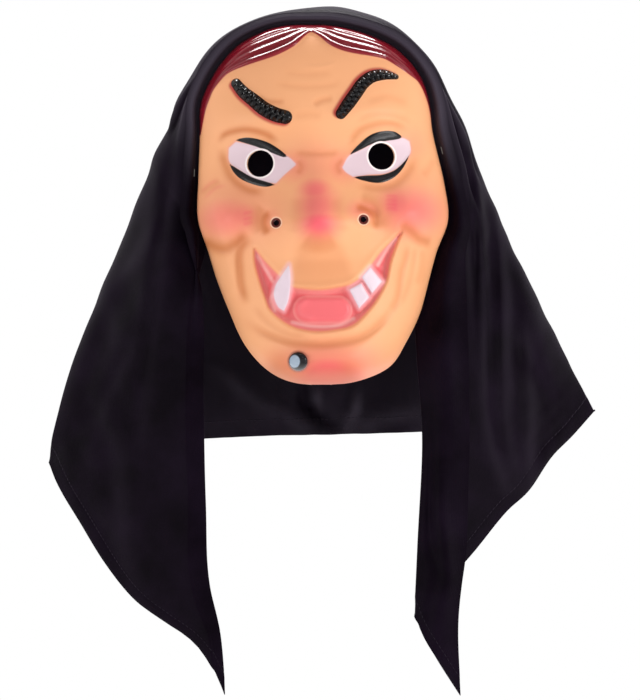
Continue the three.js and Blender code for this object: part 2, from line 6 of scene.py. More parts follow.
# %% Load the frame
import math
import bpy
import numpy as np
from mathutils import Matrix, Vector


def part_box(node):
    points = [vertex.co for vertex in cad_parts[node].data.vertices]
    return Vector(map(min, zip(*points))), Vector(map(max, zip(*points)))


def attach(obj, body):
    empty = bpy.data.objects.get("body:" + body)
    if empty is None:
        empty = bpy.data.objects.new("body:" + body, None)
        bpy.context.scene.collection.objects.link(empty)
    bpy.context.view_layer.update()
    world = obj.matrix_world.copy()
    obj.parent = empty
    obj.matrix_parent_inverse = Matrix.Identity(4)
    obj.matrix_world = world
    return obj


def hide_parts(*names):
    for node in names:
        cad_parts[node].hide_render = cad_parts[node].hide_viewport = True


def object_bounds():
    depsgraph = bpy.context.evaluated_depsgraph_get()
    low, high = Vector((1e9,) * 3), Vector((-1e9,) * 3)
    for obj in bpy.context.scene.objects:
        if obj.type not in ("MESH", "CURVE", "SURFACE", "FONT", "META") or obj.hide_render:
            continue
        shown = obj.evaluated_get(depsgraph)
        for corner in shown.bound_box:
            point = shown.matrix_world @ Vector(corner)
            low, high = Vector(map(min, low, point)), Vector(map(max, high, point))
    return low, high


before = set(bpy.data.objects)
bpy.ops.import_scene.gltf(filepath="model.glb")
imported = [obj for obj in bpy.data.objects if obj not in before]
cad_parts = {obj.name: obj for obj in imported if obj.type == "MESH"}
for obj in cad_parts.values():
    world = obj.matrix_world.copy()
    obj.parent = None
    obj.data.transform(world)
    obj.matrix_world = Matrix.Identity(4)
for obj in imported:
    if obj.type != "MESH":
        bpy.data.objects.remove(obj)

MM = 0.001
cad_low, cad_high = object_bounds()
print("the model's box in mm:", [round(v / MM) for v in (*cad_low, *cad_high)])

# %% [markdown]
# The camera stands straight in front, about three metres away, as a product photographer does to
# keep a face free of distortion. The lens follows from that distance and from the width of the
# picture where the mask's rim is.

# %% Camera
RIM_Y = -55 * MM  # the rim's plane, in front of the crown
VIEW_DISTANCE = 3.0
VIEW_WIDTH = 0.4288  # what the picture's width holds at the rim's plane
VIEW_CENTRE = (-0.002, -0.2283)
SENSOR = 36

camera_data = bpy.data.cameras.new("view")
camera_data.sensor_fit = "HORIZONTAL"
camera_data.sensor_width = SENSOR
camera_data.lens = SENSOR * VIEW_DISTANCE / VIEW_WIDTH
camera = bpy.data.objects.new("view", camera_data)
camera.location = (VIEW_CENTRE[0], RIM_Y - VIEW_DISTANCE, VIEW_CENTRE[1])
camera.rotation_euler = (math.radians(90), 0, 0)
bpy.context.collection.objects.link(camera)
bpy.context.scene.camera = camera
print(f"lens {camera_data.lens:.0f} mm")

# %% [markdown]
# The face and the scarf are worked out from short tables, so three small tools come first: a table
# with named columns, a smooth curve through a column, and the soft step that modellers use to
# blend one level into the next.

# %% Curves and tables
def table(names, rows):
    return dict(zip(names.split(), np.array(rows, float).T))


def curve_through(at, value):
    """A smooth curve through points: cubic pieces that share their slopes."""
    at = np.asarray(at, float)
    value = np.asarray(value, float)
    before = np.maximum(np.arange(len(at)) - 1, 0)
    after = np.minimum(np.arange(len(at)) + 1, len(at) - 1)
    slope = (value[after] - value[before]) / (at[after] - at[before])

    def curve(x):
        i = np.clip(np.searchsorted(at, x) - 1, 0, len(at) - 2)
        step = at[i + 1] - at[i]
        t = np.clip((x - at[i]) / step, 0, 1)
        rise = value[i + 1] - value[i]
        bend = (t - 1) * slope[i] * step + t * slope[i + 1] * step - (2 * t - 1) * rise
        return value[i] + t * rise + t * (t - 1) * bend

    return curve


def mix(a, b, share):
    return a + (b - a) * share


def ease(share):
    share = np.clip(share, 0, 1)
    return share * share * (3 - 2 * share)


def bell(distance):
    return np.exp(-0.5 * distance * distance)


print("half way up the soft step:", float(ease(0.5)))

# %% [markdown]
# The face is a dome. Its rim is read from a table of how far it reaches to the left and right at
# each height, and its depth from a table down the middle. Heights are read as turns of a half
# circle, because a rounded end needs its rows close together there. Sizes are in millimetres.

# %% The dome of the face
FACE_WIDTH = 169
FACE_HEIGHT = 241
FACE_DEPTH = 47
RIM_BOW = 12  # how far the rim at the cheeks lies behind its top and chin
SQUARE = 2.5  # how flat the dome stays towards its sides
FALL = 0.62  # how it falls to the rim there
PLAIN_RIM = 6  # the relief is full from a sixth of the half width inwards
PLAIN_ENDS = 2.5
BROW_DROP = 10.5  # from the crown down to the top of the face
HALF_FACE = FACE_WIDTH / 2
CHIN_Z = -BROW_DROP - FACE_HEIGHT

RIM = table("height left right", [
    (0.0, 0.09, 0.06),
    (0.014, 0.31, 0.32),
    (0.05, 0.475, 0.53),
    (0.117, 0.632, 0.66),
    (0.198, 0.739, 0.771),
    (0.3, 0.853, 0.851),
    (0.37, 0.914, 0.906),
    (0.46, 0.997, 0.997),
    (0.562, 0.995, 0.966),
    (0.7, 0.98, 0.875),
    (0.776, 0.975, 0.851),
    (0.84, 0.905, 0.8),
    (0.893, 0.811, 0.705),
    (0.943, 0.676, 0.545),
    (0.975, 0.52, 0.345),
    (0.992, 0.385, 0.165),
    (1.0, 0.215, -0.01),
])
PROFILE = table("height depth", [
    (0.0, 0),
    (0.012, 0.42),
    (0.04, 0.72),
    (0.09, 0.88),
    (0.2, 0.94),
    (0.35, 1.0),
    (0.5, 1.0),
    (0.62, 0.94),
    (0.75, 0.98),
    (0.85, 0.86),
    (0.93, 0.66),
    (0.98, 0.4),
    (1.0, 0),
])


def turn_of(height):
    return np.arccos(1 - 2 * np.clip(height, 0, 1))


rim_left = curve_through(turn_of(RIM["height"]), RIM["left"])
rim_right = curve_through(turn_of(RIM["height"]), RIM["right"])
profile = curve_through(turn_of(PROFILE["height"]), PROFILE["depth"])


def bow_at(height):
    return RIM_BOW * np.sin(np.pi * np.clip(height, 0, 1))


def dome_depth(x, z):
    """How far behind the rim's plane the plain dome lies, and how settled the relief is there."""
    height = (z - CHIN_Z) / FACE_HEIGHT
    turn = turn_of(height)
    left = rim_left(turn) * HALF_FACE
    right = rim_right(turn) * HALF_FACE
    across = np.clip(2 * (x + left) / (left + right) - 1, -1, 1)
    edge = np.abs(across)
    depth = bow_at(height) * across**2 - FACE_DEPTH * profile(turn) * (1 - edge**SQUARE) ** FALL
    return depth, ease((1 - edge) * PLAIN_RIM) * ease(profile(turn) * PLAIN_ENDS)


middle_depth = dome_depth(0.0, CHIN_Z + 0.4 * FACE_HEIGHT)[0]
print("the plain dome's middle:", round(float(middle_depth)), "mm")

# %% [markdown]
# On the dome sit the round forms of the face: nose, sockets, cheeks and chin. Each is a soft bell.
# Places are shares of the face's width from its middle and of its height from the chin, sizes are
# shares of its width, and rises are shares of the nose's.

# %% Round forms
NOSE_RISE = 25
FORMS = {
    # middle of the bell, its width and height, rise
    "nose bulb": (-0.024, 0.44, 0.082, 0.078, 0.8),
    "nose bridge": (-0.028, 0.54, 0.066, 0.13, 0.34),
    "left wing": (-0.145, 0.433, 0.056, 0.054, 0.3),
    "right wing": (0.113, 0.447, 0.056, 0.054, 0.3),
    "under nose": (-0.02, 0.352, 0.09, 0.03, -0.12),
    "left socket": (-0.255, 0.622, 0.135, 0.085, -0.4),
    "right socket": (0.223, 0.635, 0.14, 0.085, -0.4),
    "left eye": (-0.245, 0.607, 0.085, 0.052, 0.24),
    "right eye": (0.228, 0.626, 0.088, 0.055, 0.24),
    "left brow ridge": (-0.278, 0.72, 0.11, 0.04, 0.14),
    "right brow ridge": (0.192, 0.74, 0.11, 0.045, 0.14),
    "left cheek": (-0.395, 0.46, 0.072, 0.066, 0.46),
    "right cheek": (0.357, 0.477, 0.072, 0.066, 0.46),
    "left jowl": (-0.38, 0.326, 0.032, 0.1, 0.12),
    "right jowl": (0.409, 0.337, 0.032, 0.1, 0.12),
    "chin": (0.01, 0.062, 0.13, 0.045, 0.22),
}


def place(x_share, z_share):
    return x_share * FACE_WIDTH, CHIN_Z + z_share * FACE_HEIGHT


def round_forms(x, z):
    rise = np.zeros_like(x)
    for at_x, at_z, wide, tall, height in FORMS.values():
        middle_x, middle_z = place(at_x, at_z)
        away = np.hypot((x - middle_x) / (wide * FACE_WIDTH), (z - middle_z) / (tall * FACE_WIDTH))
        rise += height * NOSE_RISE * bell(away)
    return rise


print(len(FORMS), "round forms")

# %% [markdown]
# The painted shapes and the creases are drawn as lines and outlines. An outline is made of runs
# that are smooth inside and meet at corners, the way a stencil is cut. Two measures do the rest:
# the distance to a line, and the distance to the edge of an outline, below zero inside it.

# %% Lines and outlines
STEPS = 7  # straight pieces between two points of a smooth run


def smooth(points):
    points = np.array([place(*p[:2]) for p in points])
    if len(points) < 3:
        return points
    at = np.concatenate([[0], np.cumsum(np.hypot(*np.diff(points, axis=0).T))])
    fine = np.interp(np.linspace(0, len(at) - 1, STEPS * (len(at) - 1) + 1), np.arange(len(at)), at)
    return np.stack([curve_through(at, points[:, k])(fine) for k in (0, 1)], axis=1)


def outline(*runs):
    return np.concatenate([smooth(run)[:-1] for run in runs])


def line_distance(path, x, z):
    """Distance to a line, share of the way along it, and the signed distance to its side."""
    nearest = np.full(x.shape, np.inf)
    along = np.zeros_like(x)
    side = np.zeros_like(x)
    run = 0.0
    for (x0, z0), (x1, z1) in zip(path[:-1], path[1:]):
        length = math.hypot(x1 - x0, z1 - z0)
        t = np.clip(((x - x0) * (x1 - x0) + (z - z0) * (z1 - z0)) / length**2, 0, 1)
        off = np.hypot(x - x0 - t * (x1 - x0), z - z0 - t * (z1 - z0))
        closer = off < nearest
        nearest = np.where(closer, off, nearest)
        along = np.where(closer, run + t * length, along)
        side = np.where(closer, ((x1 - x0) * (z - z0) - (z1 - z0) * (x - x0)) / length, side)
        run += length
    return nearest, along / run, side


def edge_distance(shape, x, z):
    inside = np.zeros(x.shape, bool)
    ring = np.concatenate([shape, shape[:1]])
    for (x0, z0), (x1, z1) in zip(ring[:-1], ring[1:]):
        if z0 != z1:
            beyond = x < (x1 - x0) * (z - z0) / (z1 - z0) + x0
            inside ^= ((z0 > z) != (z1 > z)) & beyond
    nearest = line_distance(ring, x, z)[0]
    return np.where(inside, -nearest, nearest)


print("a smooth run of three points has", len(smooth([(0, 0), (0.1, 0), (0.2, 0.1)])), "points")

# %% [markdown]
# The stencils: eye whites, the black strokes of the lids, the mouth with its tongue and three
# teeth, and the lower edge of the moulded hair. Places are shares of the face, as above.

# %% Stencils
EYE_WHITES = [
    outline(
        [(-0.372, 0.654), (-0.343, 0.671)],
        [(-0.343, 0.671), (-0.278, 0.661), (-0.208, 0.646), (-0.137, 0.627), (-0.103, 0.605)],
        [(-0.103, 0.605), (-0.153, 0.575), (-0.184, 0.553)],
        [(-0.184, 0.553), (-0.216, 0.556), (-0.276, 0.569), (-0.333, 0.594), (-0.369, 0.616),
         (-0.372, 0.654)],
    ),
    outline(
        [(0.074, 0.596), (0.101, 0.629), (0.149, 0.647), (0.2, 0.665), (0.255, 0.674),
         (0.313, 0.682), (0.341, 0.673)],
        [(0.341, 0.673), (0.345, 0.641), (0.306, 0.605), (0.251, 0.583), (0.176, 0.577), (0.117, 0.571)],
        [(0.117, 0.571), (0.09, 0.583), (0.074, 0.596)],
    ),
]
LASHES = [
    outline(
        [(-0.351, 0.676), (-0.294, 0.681), (-0.223, 0.669), (-0.172, 0.648), (-0.137, 0.627)],
        [(-0.137, 0.627), (-0.157, 0.626), (-0.208, 0.64), (-0.259, 0.655), (-0.311, 0.667), (-0.351, 0.676)],
    ),
    outline(
        [(-0.371, 0.612), (-0.325, 0.591), (-0.276, 0.571), (-0.224, 0.559), (-0.184, 0.55)],
        [(-0.184, 0.55), (-0.224, 0.544), (-0.276, 0.552), (-0.325, 0.568), (-0.353, 0.588), (-0.371, 0.612)],
    ),
    outline(
        [(0.1, 0.63), (0.137, 0.659), (0.183, 0.686), (0.231, 0.698), (0.28, 0.698), (0.313, 0.685)],
        [(0.313, 0.685), (0.297, 0.678), (0.25, 0.672), (0.198, 0.664), (0.149, 0.647), (0.1, 0.63)],
    ),
    outline(
        [(0.113, 0.571), (0.157, 0.561), (0.219, 0.555), (0.273, 0.568), (0.313, 0.596), (0.347, 0.642)],
        [(0.347, 0.642), (0.317, 0.614), (0.28, 0.591), (0.231, 0.578), (0.168, 0.575), (0.113, 0.571)],
    ),
]
MOUTH = outline(
    [(-0.267, 0.373), (-0.223, 0.336), (-0.174, 0.301), (-0.125, 0.27), (-0.078, 0.263), (-0.008, 0.26),
     (0.062, 0.267), (0.109, 0.276), (0.156, 0.301), (0.186, 0.327), (0.229, 0.366), (0.305, 0.419)],
    [(0.305, 0.419), (0.286, 0.388), (0.262, 0.339), (0.246, 0.286), (0.203, 0.23), (0.156, 0.19),
     (0.109, 0.163), (0.039, 0.152), (-0.031, 0.149), (-0.104, 0.158), (-0.161, 0.179), (-0.208, 0.21),
     (-0.223, 0.237), (-0.247, 0.286), (-0.266, 0.338), (-0.267, 0.373)],
)
FANG = outline(
    [(-0.133, 0.33), (-0.162, 0.3), (-0.186, 0.273), (-0.192, 0.244), (-0.176, 0.215), (-0.153, 0.203)],
    [(-0.153, 0.203), (-0.137, 0.229), (-0.129, 0.263), (-0.127, 0.3), (-0.133, 0.33)],
)
TOOTH_CORNERS = [
    [(0.103, 0.262), (0.149, 0.279), (0.181, 0.241), (0.141, 0.211)],
    [(0.152, 0.296), (0.185, 0.323), (0.231, 0.285), (0.192, 0.252)],
]
TEETH = [FANG] + [outline(*zip(corners, corners[1:] + corners[:1])) for corners in TOOTH_CORNERS]
TONGUE = smooth([(-0.063, 0.207), (0.06, 0.207)])
TONGUE_HALF = 8.4
HAIRLINE = [
    (-0.486, 0.695), (-0.465, 0.761), (-0.449, 0.792), (-0.433, 0.817), (-0.402, 0.844), (-0.37, 0.863),
    (-0.311, 0.879), (-0.213, 0.9), (-0.165, 0.913), (-0.11, 0.935), (-0.079, 0.957), (-0.047, 0.974),
    (-0.012, 0.96), (0.022, 0.939), (0.067, 0.923), (0.122, 0.913), (0.193, 0.906), (0.244, 0.899),
    (0.293, 0.88), (0.342, 0.858), (0.378, 0.839), (0.405, 0.804), (0.421, 0.77), (0.437, 0.704),
]
HAIR = outline(
    HAIRLINE,
    [(0.437, 0.704), (0.6, 0.68)],
    [(0.6, 0.68), (0.6, 1.1)],
    [(0.6, 1.1), (-0.6, 1.1)],
    [(-0.6, 1.1), (-0.6, 0.67)],
    [(-0.6, 0.67), (-0.486, 0.695)],
)
print("stencils:", len(EYE_WHITES), "eye whites,", len(LASHES), "lid strokes,", len(TEETH), "teeth")

# %% [markdown]
# The brows are raised, thick at the nose and thin at the temple, with two rows of small beads like
# a plait. A brow is a line with a width at each point. The beads are only 4 mm long, so the mesh
# gets them as low mounds and the material sharpens them, both from two measures: how far along the
# brow a point lies, and how far to its side.

# %% Brows
BROWS = [
    # the points of each line, with half the brow's width there in mm
    [(-0.342, 0.831, 3.4), (-0.313, 0.806, 4.1), (-0.274, 0.783, 4.5), (-0.229, 0.757, 4.8),
     (-0.184, 0.741, 4.9), (-0.147, 0.734, 4.6)],
    [(0.07, 0.743, 3.6), (0.101, 0.773, 4.3), (0.129, 0.801, 4.4), (0.156, 0.828, 4.3),
     (0.191, 0.847, 4.1), (0.238, 0.854, 3.6), (0.287, 0.85, 1.9)],
]
BROW_RISE = 2.8
BEAD_PITCH = 3.9  # from bead to bead in a row
BEAD_MOUND = 0.8  # how high the mesh lifts a bead


def brow_field(brow, x, z):
    """Distance to the brow's edge, the way along it, and the way to its side, in mm."""
    path = smooth(brow)
    off, along, side = line_distance(path, x, z)
    half = curve_through(np.linspace(0, 1, len(brow)), [p[2] for p in brow])(along)
    length = np.hypot(*np.diff(path, axis=0).T).sum()
    return off - half, along * length, side


for brow in BROWS:
    print("a brow of", round(float(np.hypot(*np.diff(smooth(brow), axis=0).T).sum())), "mm")

# %% [markdown]
# Creases and small ridges: each is a line with a half width and a rise in millimetres, below zero
# for a crease, and how strong a warm painted shade lies along it, standing in for the shadow that
# falls in the crease. Over the upper lip and under the chin that painted shade is all there is,
# with no rise. They fade at their ends, as pressed lines do. In the mouth a few folds stand proud,
# and a pale pink painted highlight runs along them.

# %% Creases
CREASES = {
    # the line, its half width, its rise, its warm painted shade
    "left lid": ([(-0.42, 0.664), (-0.39, 0.69), (-0.34, 0.7), (-0.29, 0.701), (-0.223, 0.688),
                  (-0.165, 0.66)], 1.5, -1.3, 0.55),
    "left socket": ([(-0.41, 0.663), (-0.388, 0.616), (-0.357, 0.572), (-0.294, 0.538), (-0.215, 0.53)],
                    2.0, -1.0, 0.45),
    "right lid": ([(0.09, 0.65), (0.137, 0.694), (0.19, 0.712), (0.27, 0.718), (0.345, 0.7)], 1.5, -1.0, 0.3),
    "right high lid": ([(0.12, 0.715), (0.19, 0.742), (0.28, 0.742), (0.36, 0.72)], 1.6, -0.6, 0.14),
    "right temple arc": ([(0.16, 0.775), (0.25, 0.795), (0.345, 0.775)], 2.0, -0.5, 0.1),
    "right socket": ([(0.12, 0.552), (0.2, 0.541), (0.28, 0.552), (0.335, 0.59), (0.372, 0.64)],
                     2.0, -0.9, 0.3),
    "left frown": ([(-0.262, 0.797), (-0.227, 0.78), (-0.145, 0.776)], 1.2, -0.8, 0.28),
    "right frown": ([(-0.043, 0.766), (-0.004, 0.78), (0.043, 0.786)], 1.5, -0.8, 0.22),
    "low frown": ([(-0.12, 0.735), (-0.06, 0.742), (0.0, 0.738)], 1.8, -0.5, 0.1),
    "forehead ridge": ([(-0.078, 0.879), (-0.02, 0.873), (0.06, 0.885)], 1.0, 0.38, 0.0),
    "forehead line": ([(-0.2, 0.83), (-0.09, 0.818), (0.03, 0.822), (0.09, 0.84)], 1.6, -0.35, 0.1),
    "upper forehead line": ([(-0.16, 0.86), (-0.07, 0.852), (0.05, 0.858)], 1.6, -0.28, 0.08),
    "bridge": ([(-0.12, 0.64), (-0.028, 0.634), (0.07, 0.64)], 1.5, -0.9, 0.24),
    "left eye corner": ([(-0.1, 0.62), (-0.085, 0.6), (-0.1, 0.575)], 1.4, -0.8, 0.25),
    "right eye corner": ([(0.075, 0.625), (0.055, 0.6), (0.07, 0.575)], 1.4, -0.8, 0.25),
    "left temple": ([(-0.49, 0.53), (-0.43, 0.555), (-0.4, 0.57)], 1.8, -0.6, 0.18),
    "right temple": ([(0.385, 0.575), (0.42, 0.6), (0.44, 0.63)], 1.8, -0.5, 0.14),
    "left smile": ([(-0.27, 0.41), (-0.315, 0.388), (-0.329, 0.358), (-0.327, 0.317), (-0.321, 0.273),
                    (-0.298, 0.215)], 2.0, -2.2, 0.5),
    "left smile edge": ([(-0.35, 0.35), (-0.352, 0.3), (-0.34, 0.25)], 2.2, 0.6, 0.0),
    "chin": ([(-0.329, 0.193), (-0.278, 0.163), (-0.215, 0.138), (-0.137, 0.12), (-0.055, 0.112),
              (0.039, 0.114), (0.133, 0.127), (0.2, 0.153), (0.266, 0.204), (0.293, 0.24)], 2.0, -1.9, 0.36),
    "lip fold": ([(-0.28, 0.225), (-0.22, 0.175), (-0.14, 0.14), (-0.05, 0.128)], 1.8, -0.7, 0.18),
    "right smile": ([(0.333, 0.399), (0.325, 0.352), (0.309, 0.314), (0.294, 0.24), (0.25, 0.185)],
                    1.8, -1.5, 0.3),
    "right fold": ([(0.362, 0.395), (0.358, 0.34), (0.34, 0.28), (0.3, 0.21)], 1.6, -0.9, 0.18),
    "right jaw": ([(0.392, 0.385), (0.39, 0.33), (0.37, 0.27)], 1.6, -0.9, 0.18),
    "left cheek ball": ([(-0.483, 0.419), (-0.455, 0.392), (-0.396, 0.378), (-0.342, 0.39), (-0.283, 0.424)],
                        2.6, -2.0, 0.55),
    "right cheek ball": ([(0.289, 0.443), (0.337, 0.425), (0.38, 0.402), (0.44, 0.392)], 2.4, -1.9, 0.5),
    "left wing crease": ([(-0.2, 0.473), (-0.226, 0.464), (-0.232, 0.44), (-0.21, 0.41)], 2.0, -1.8, 0.6),
    "right wing crease": ([(0.115, 0.489), (0.156, 0.484), (0.197, 0.47), (0.206, 0.447), (0.193, 0.425)],
                          2.0, -1.8, 0.62),
    "left wing hollow": ([(-0.225, 0.495), (-0.25, 0.455), (-0.232, 0.415)], 3.6, -0.8, 0.3),
    "right wing hollow": ([(0.13, 0.51), (0.19, 0.498), (0.228, 0.46), (0.215, 0.42)], 3.6, -0.9, 0.3),
    "nose left side": ([(-0.09, 0.52), (-0.1, 0.47), (-0.115, 0.41)], 3.2, -0.7, 0.14),
    "nose right side": ([(0.04, 0.52), (0.06, 0.47), (0.07, 0.41)], 3.2, -0.7, 0.14),
    "right wing ridge": ([(0.145, 0.519), (0.215, 0.495), (0.236, 0.45)], 2.2, 0.9, 0.0),
    "under the nose": ([(-0.09, 0.4), (-0.06, 0.386), (-0.02, 0.38), (0.03, 0.386), (0.06, 0.4)],
                       5.2, -1.0, 0.36),
    # the next two lines are painted shade only, with no rise: over the upper lip and under the chin
    "upper lip": ([(-0.14, 0.34), (-0.05, 0.325), (0.03, 0.325), (0.12, 0.345)], 13.0, 0.0, 0.24),
    "under the chin": ([(-0.27, 0.06), (-0.1, 0.015), (0.04, 0.008), (0.19, 0.04)], 8.0, 0.0, 0.6),
}
# lines of pale pink painted highlight along the raised folds in the mouth
LIP_HIGHLIGHTS = [
    [(-0.258, 0.355), (-0.225, 0.318), (-0.197, 0.285)],
    [(0.285, 0.402), (0.245, 0.366), (0.215, 0.33)],
    [(-0.12, 0.172), (-0.04, 0.162), (0.05, 0.163), (0.12, 0.182)],
    [(-0.05, 0.184), (-0.082, 0.196), (-0.09, 0.215), (-0.07, 0.232)],
    [(-0.19, 0.255), (-0.205, 0.235), (-0.19, 0.205)],
]
print(len(CREASES), "creases and ridges,", len(LIP_HIGHLIGHTS), "pale lines in the mouth")

# %% [markdown]
# Now the relief of the whole face, in millimetres in front of the dome. The mouth is pressed in
# with a soft lip, tongue and teeth stand up in it, the lids are raised strokes, and the hair is a
# step with a few round strands. The strands share out the way from hairline to rim, so they draw
# together at the parting and fan out to the temples.

# %% Relief
MOUTH_SINK = 6.0
LIP_RISE = 1.1
TONGUE_RISE = 3.6
TOOTH_RISE = 1.2
LASH_RISE = 0.9
EYE_EDGE = 0.5
HAIR_RISE = 2.2
STRANDS = 4
STRAND_ROUND = 0.4  # how high a strand stands for its width
WART_SIZE = 13
WART_RISE = 5.0
WART = place(-0.097, 0.065)
PUPIL_BORE = 17.8
NOSTRIL_BORE = 6.4
PUPILS = [place(-0.247, 0.609), place(0.23, 0.629)]
NOSTRILS = [place(-0.183, 0.444), place(0.158, 0.453)]
COLLAR = 1.2  # width of the dished collar of a nostril
NOSTRIL_DISH = 2.2
GLEAM_HALF = 0.5
GLEAM_RISE = 0.7
CREASE_SHADE_GAIN = 1.15  # how strong the painted shade is in every crease
WART_HIGHLIGHT = (-2.4, 0.0, 3.5, 4.2)  # the painted highlight on the wart's left: its place and half sizes
TEMPLE = 0.66  # the height where the hair ends

temple_turns = turn_of(mix(TEMPLE, 1, np.sin(np.linspace(0, np.pi / 2, 24))))
rim_z = CHIN_Z + FACE_HEIGHT * (1 - np.cos(temple_turns)) / 2
RIM_LINE = np.concatenate([
    np.stack([-HALF_FACE * rim_left(temple_turns), rim_z], axis=1),
    np.stack([HALF_FACE * rim_right(temple_turns), rim_z], axis=1)[::-1],
])


def nearest_edge(shapes, x, z):
    return np.min([edge_distance(shape, x, z) for shape in shapes], axis=0)


def hole_distance(middles, bore, x, z):
    return np.min([np.hypot(x - mx, z - mz) for mx, mz in middles], axis=0) - bore / 2


def fields_at(x, z):
    """Every painted shape as a distance in mm to its edge, below zero inside."""
    brows = [brow_field(brow, x, z) for brow in BROWS]
    on_left = brows[0][0] < brows[1][0]
    hair = edge_distance(HAIR, x, z)
    inward = np.maximum(-hair, 0)
    to_rim = line_distance(RIM_LINE, x, z)[0]
    fields = {
        "hair": hair,
        "strand": STRANDS * inward / (inward + to_rim + 0.5),
        "hair_width": inward + to_rim,
        "brow": np.where(on_left, brows[0][0], brows[1][0]),
        "brow_along": np.where(on_left, brows[0][1], brows[1][1]),
        "brow_side": np.where(on_left, brows[0][2], brows[1][2]),
        "eye": nearest_edge(EYE_WHITES, x, z),
        "lash": nearest_edge(LASHES, x, z),
        "mouth": edge_distance(MOUTH, x, z),
        "tongue": line_distance(TONGUE, x, z)[0] - TONGUE_HALF,
        "tooth": nearest_edge(TEETH, x, z),
        "wart": np.hypot(x - WART[0], z - WART[1]) - WART_SIZE / 2,
        "wart_highlight": (np.hypot((x - WART[0] - WART_HIGHLIGHT[0]) / WART_HIGHLIGHT[2], (z - WART[1] - WART_HIGHLIGHT[1]) / WART_HIGHLIGHT[3]) - 1) * WART_HIGHLIGHT[2],
        "pupil": hole_distance(PUPILS, PUPIL_BORE, x, z),
        "nostril": hole_distance(NOSTRILS, NOSTRIL_BORE, x, z),
    }
    crease = np.zeros_like(x)
    shade = np.zeros_like(x)
    for path, half, rise, dark in CREASES.values():
        off, along, _ = line_distance(smooth(path), x, z)
        ends = ease(along * 5) * ease((1 - along) * 5)
        crease += rise * bell(off / half) * ends
        shade = np.maximum(shade, CREASE_SHADE_GAIN * dark * bell(off / (half * 1.1)) * ends)
    gleams = [line_distance(smooth(path), x, z)[0] for path in LIP_HIGHLIGHTS]
    fields["lip_highlight"] = np.min(gleams, axis=0) - GLEAM_HALF
    fields["crease"] = crease
    fields["shade"] = shade
    return fields


def relief(x, z, fields):
    inside_mouth = ease(0.5 - fields["mouth"] / 5)
    rise = round_forms(x, z) + fields["crease"]
    on_tooth = ease(0.9 - fields["tooth"] / 5)
    rise += LIP_RISE * bell((fields["mouth"] - 1.5) / 2.2) * (1 - on_tooth)
    rise -= MOUTH_SINK * inside_mouth * (1 - 0.8 * on_tooth)
    rise += GLEAM_RISE * bell(fields["lip_highlight"] / 1.2) * inside_mouth
    rise += TONGUE_RISE * ease(0.5 - fields["tongue"] / 6) * inside_mouth
    rise += TOOTH_RISE * ease(0.6 - fields["tooth"] / 2.2)
    rise += LASH_RISE * ease(0.4 - fields["lash"] / 1.4)
    rise -= EYE_EDGE * ease(0.5 - fields["eye"] / 1.6)
    rise += BROW_RISE * ease(-fields["brow"] / 3.2) ** 0.6
    bead_turn = np.pi * (fields["brow_along"] / BEAD_PITCH + 0.5 * (fields["brow_side"] > 0))
    rise += BEAD_MOUND * (np.abs(np.sin(bead_turn)) - 0.5) * ease(-fields["brow"] / 1.8)
    strand = np.abs(np.sin(np.pi * fields["strand"]))
    rise += ease(0.5 - fields["hair"] / 2.4) * (
        HAIR_RISE + STRAND_ROUND * fields["hair_width"] / STRANDS * (strand - 0.6)
    )
    rise += WART_RISE * np.sqrt(np.clip(1 - (fields["wart"] / (WART_SIZE / 2) + 1) ** 2, 0, 1))
    rise -= NOSTRIL_DISH * ease(0.6 - fields["nostril"] / 2.0)
    return rise


print("relief ready")

# %% [markdown]
# Face and scarf are both grids of points in the end. A small tool gives any grid its thickness:
# front, back, and a wall along every free edge. Another stores measures at the mesh's points.

# %% Grids and walls
def thick_sheet(name, grid, front, back, keep=None):
    """A closed mesh from a grid of points in mm: offsets along the normal, quads that are kept."""
    rows, columns = grid.shape[:2]
    over = np.gradient(grid, axis=1)
    along = np.gradient(grid, axis=0)
    normal = np.cross(over, along)
    normal /= np.linalg.norm(normal, axis=2, keepdims=True)
    layers = [(grid + normal * offset).reshape(-1, 3) for offset in (front, -back)]
    number = np.arange(rows * columns).reshape(rows, columns)
    quads = np.stack([number[:-1, :-1], number[:-1, 1:], number[1:, 1:], number[1:, :-1]], axis=-1)
    quads = quads.reshape(-1, 4) if keep is None else quads[keep]
    edges = np.concatenate([quads[:, [k, (k + 1) % 4]] for k in range(4)])
    size = rows * columns
    free = edges[~np.isin(edges[:, 0] * size + edges[:, 1], edges[:, 1] * size + edges[:, 0])]
    walls = np.stack([free[:, 1], free[:, 0], free[:, 0] + size, free[:, 1] + size], axis=1)
    faces = np.concatenate([quads, quads[:, ::-1] + size, walls])
    used, faces = np.unique(faces, return_inverse=True)
    faces = faces.reshape(-1, 4)
    points = np.concatenate(layers)[used] * MM
    points[:, 1] += RIM_Y
    mesh = bpy.data.meshes.new(name)
    mesh.from_pydata(points.tolist(), [], faces.tolist())
    mesh.polygons.foreach_set("material_index", np.repeat([0, 1], [len(quads), len(faces) - len(quads)]))
    mesh.shade_smooth()
    mesh.set_sharp_from_angle(angle=math.radians(60))
    piece = bpy.data.objects.new(name, mesh)
    bpy.context.collection.objects.link(piece)
    print(name, "triangles:", 2 * len(faces))
    return piece, used % size


def keep_values(piece, used, values):
    """Stores one number for each point, for the materials to read."""
    for name, value in values.items():
        layer = piece.data.attributes.new(name, "FLOAT", "POINT")
        layer.data.foreach_set("value", value.ravel()[used].astype(np.float32))


print("two tools ready:", thick_sheet.__name__, "and", keep_values.__name__)

# %% [markdown]
# The moulded sheet is one grid, 1.2 mm thick. The quads over the pupils and nostrils are left out,
# and the points round each hole move onto its circle, so the holes are cut round and clean. Rows
# and columns lie a little closer together near the rim, where the dome falls away.

# %% The moulded sheet
FACE_WALL = 1.2
FACE_ROWS = 250
FACE_COLUMNS = 188
EVENLY = 0.6  # at 0 rows and columns crowd at the rim, at 1 they are evenly spaced

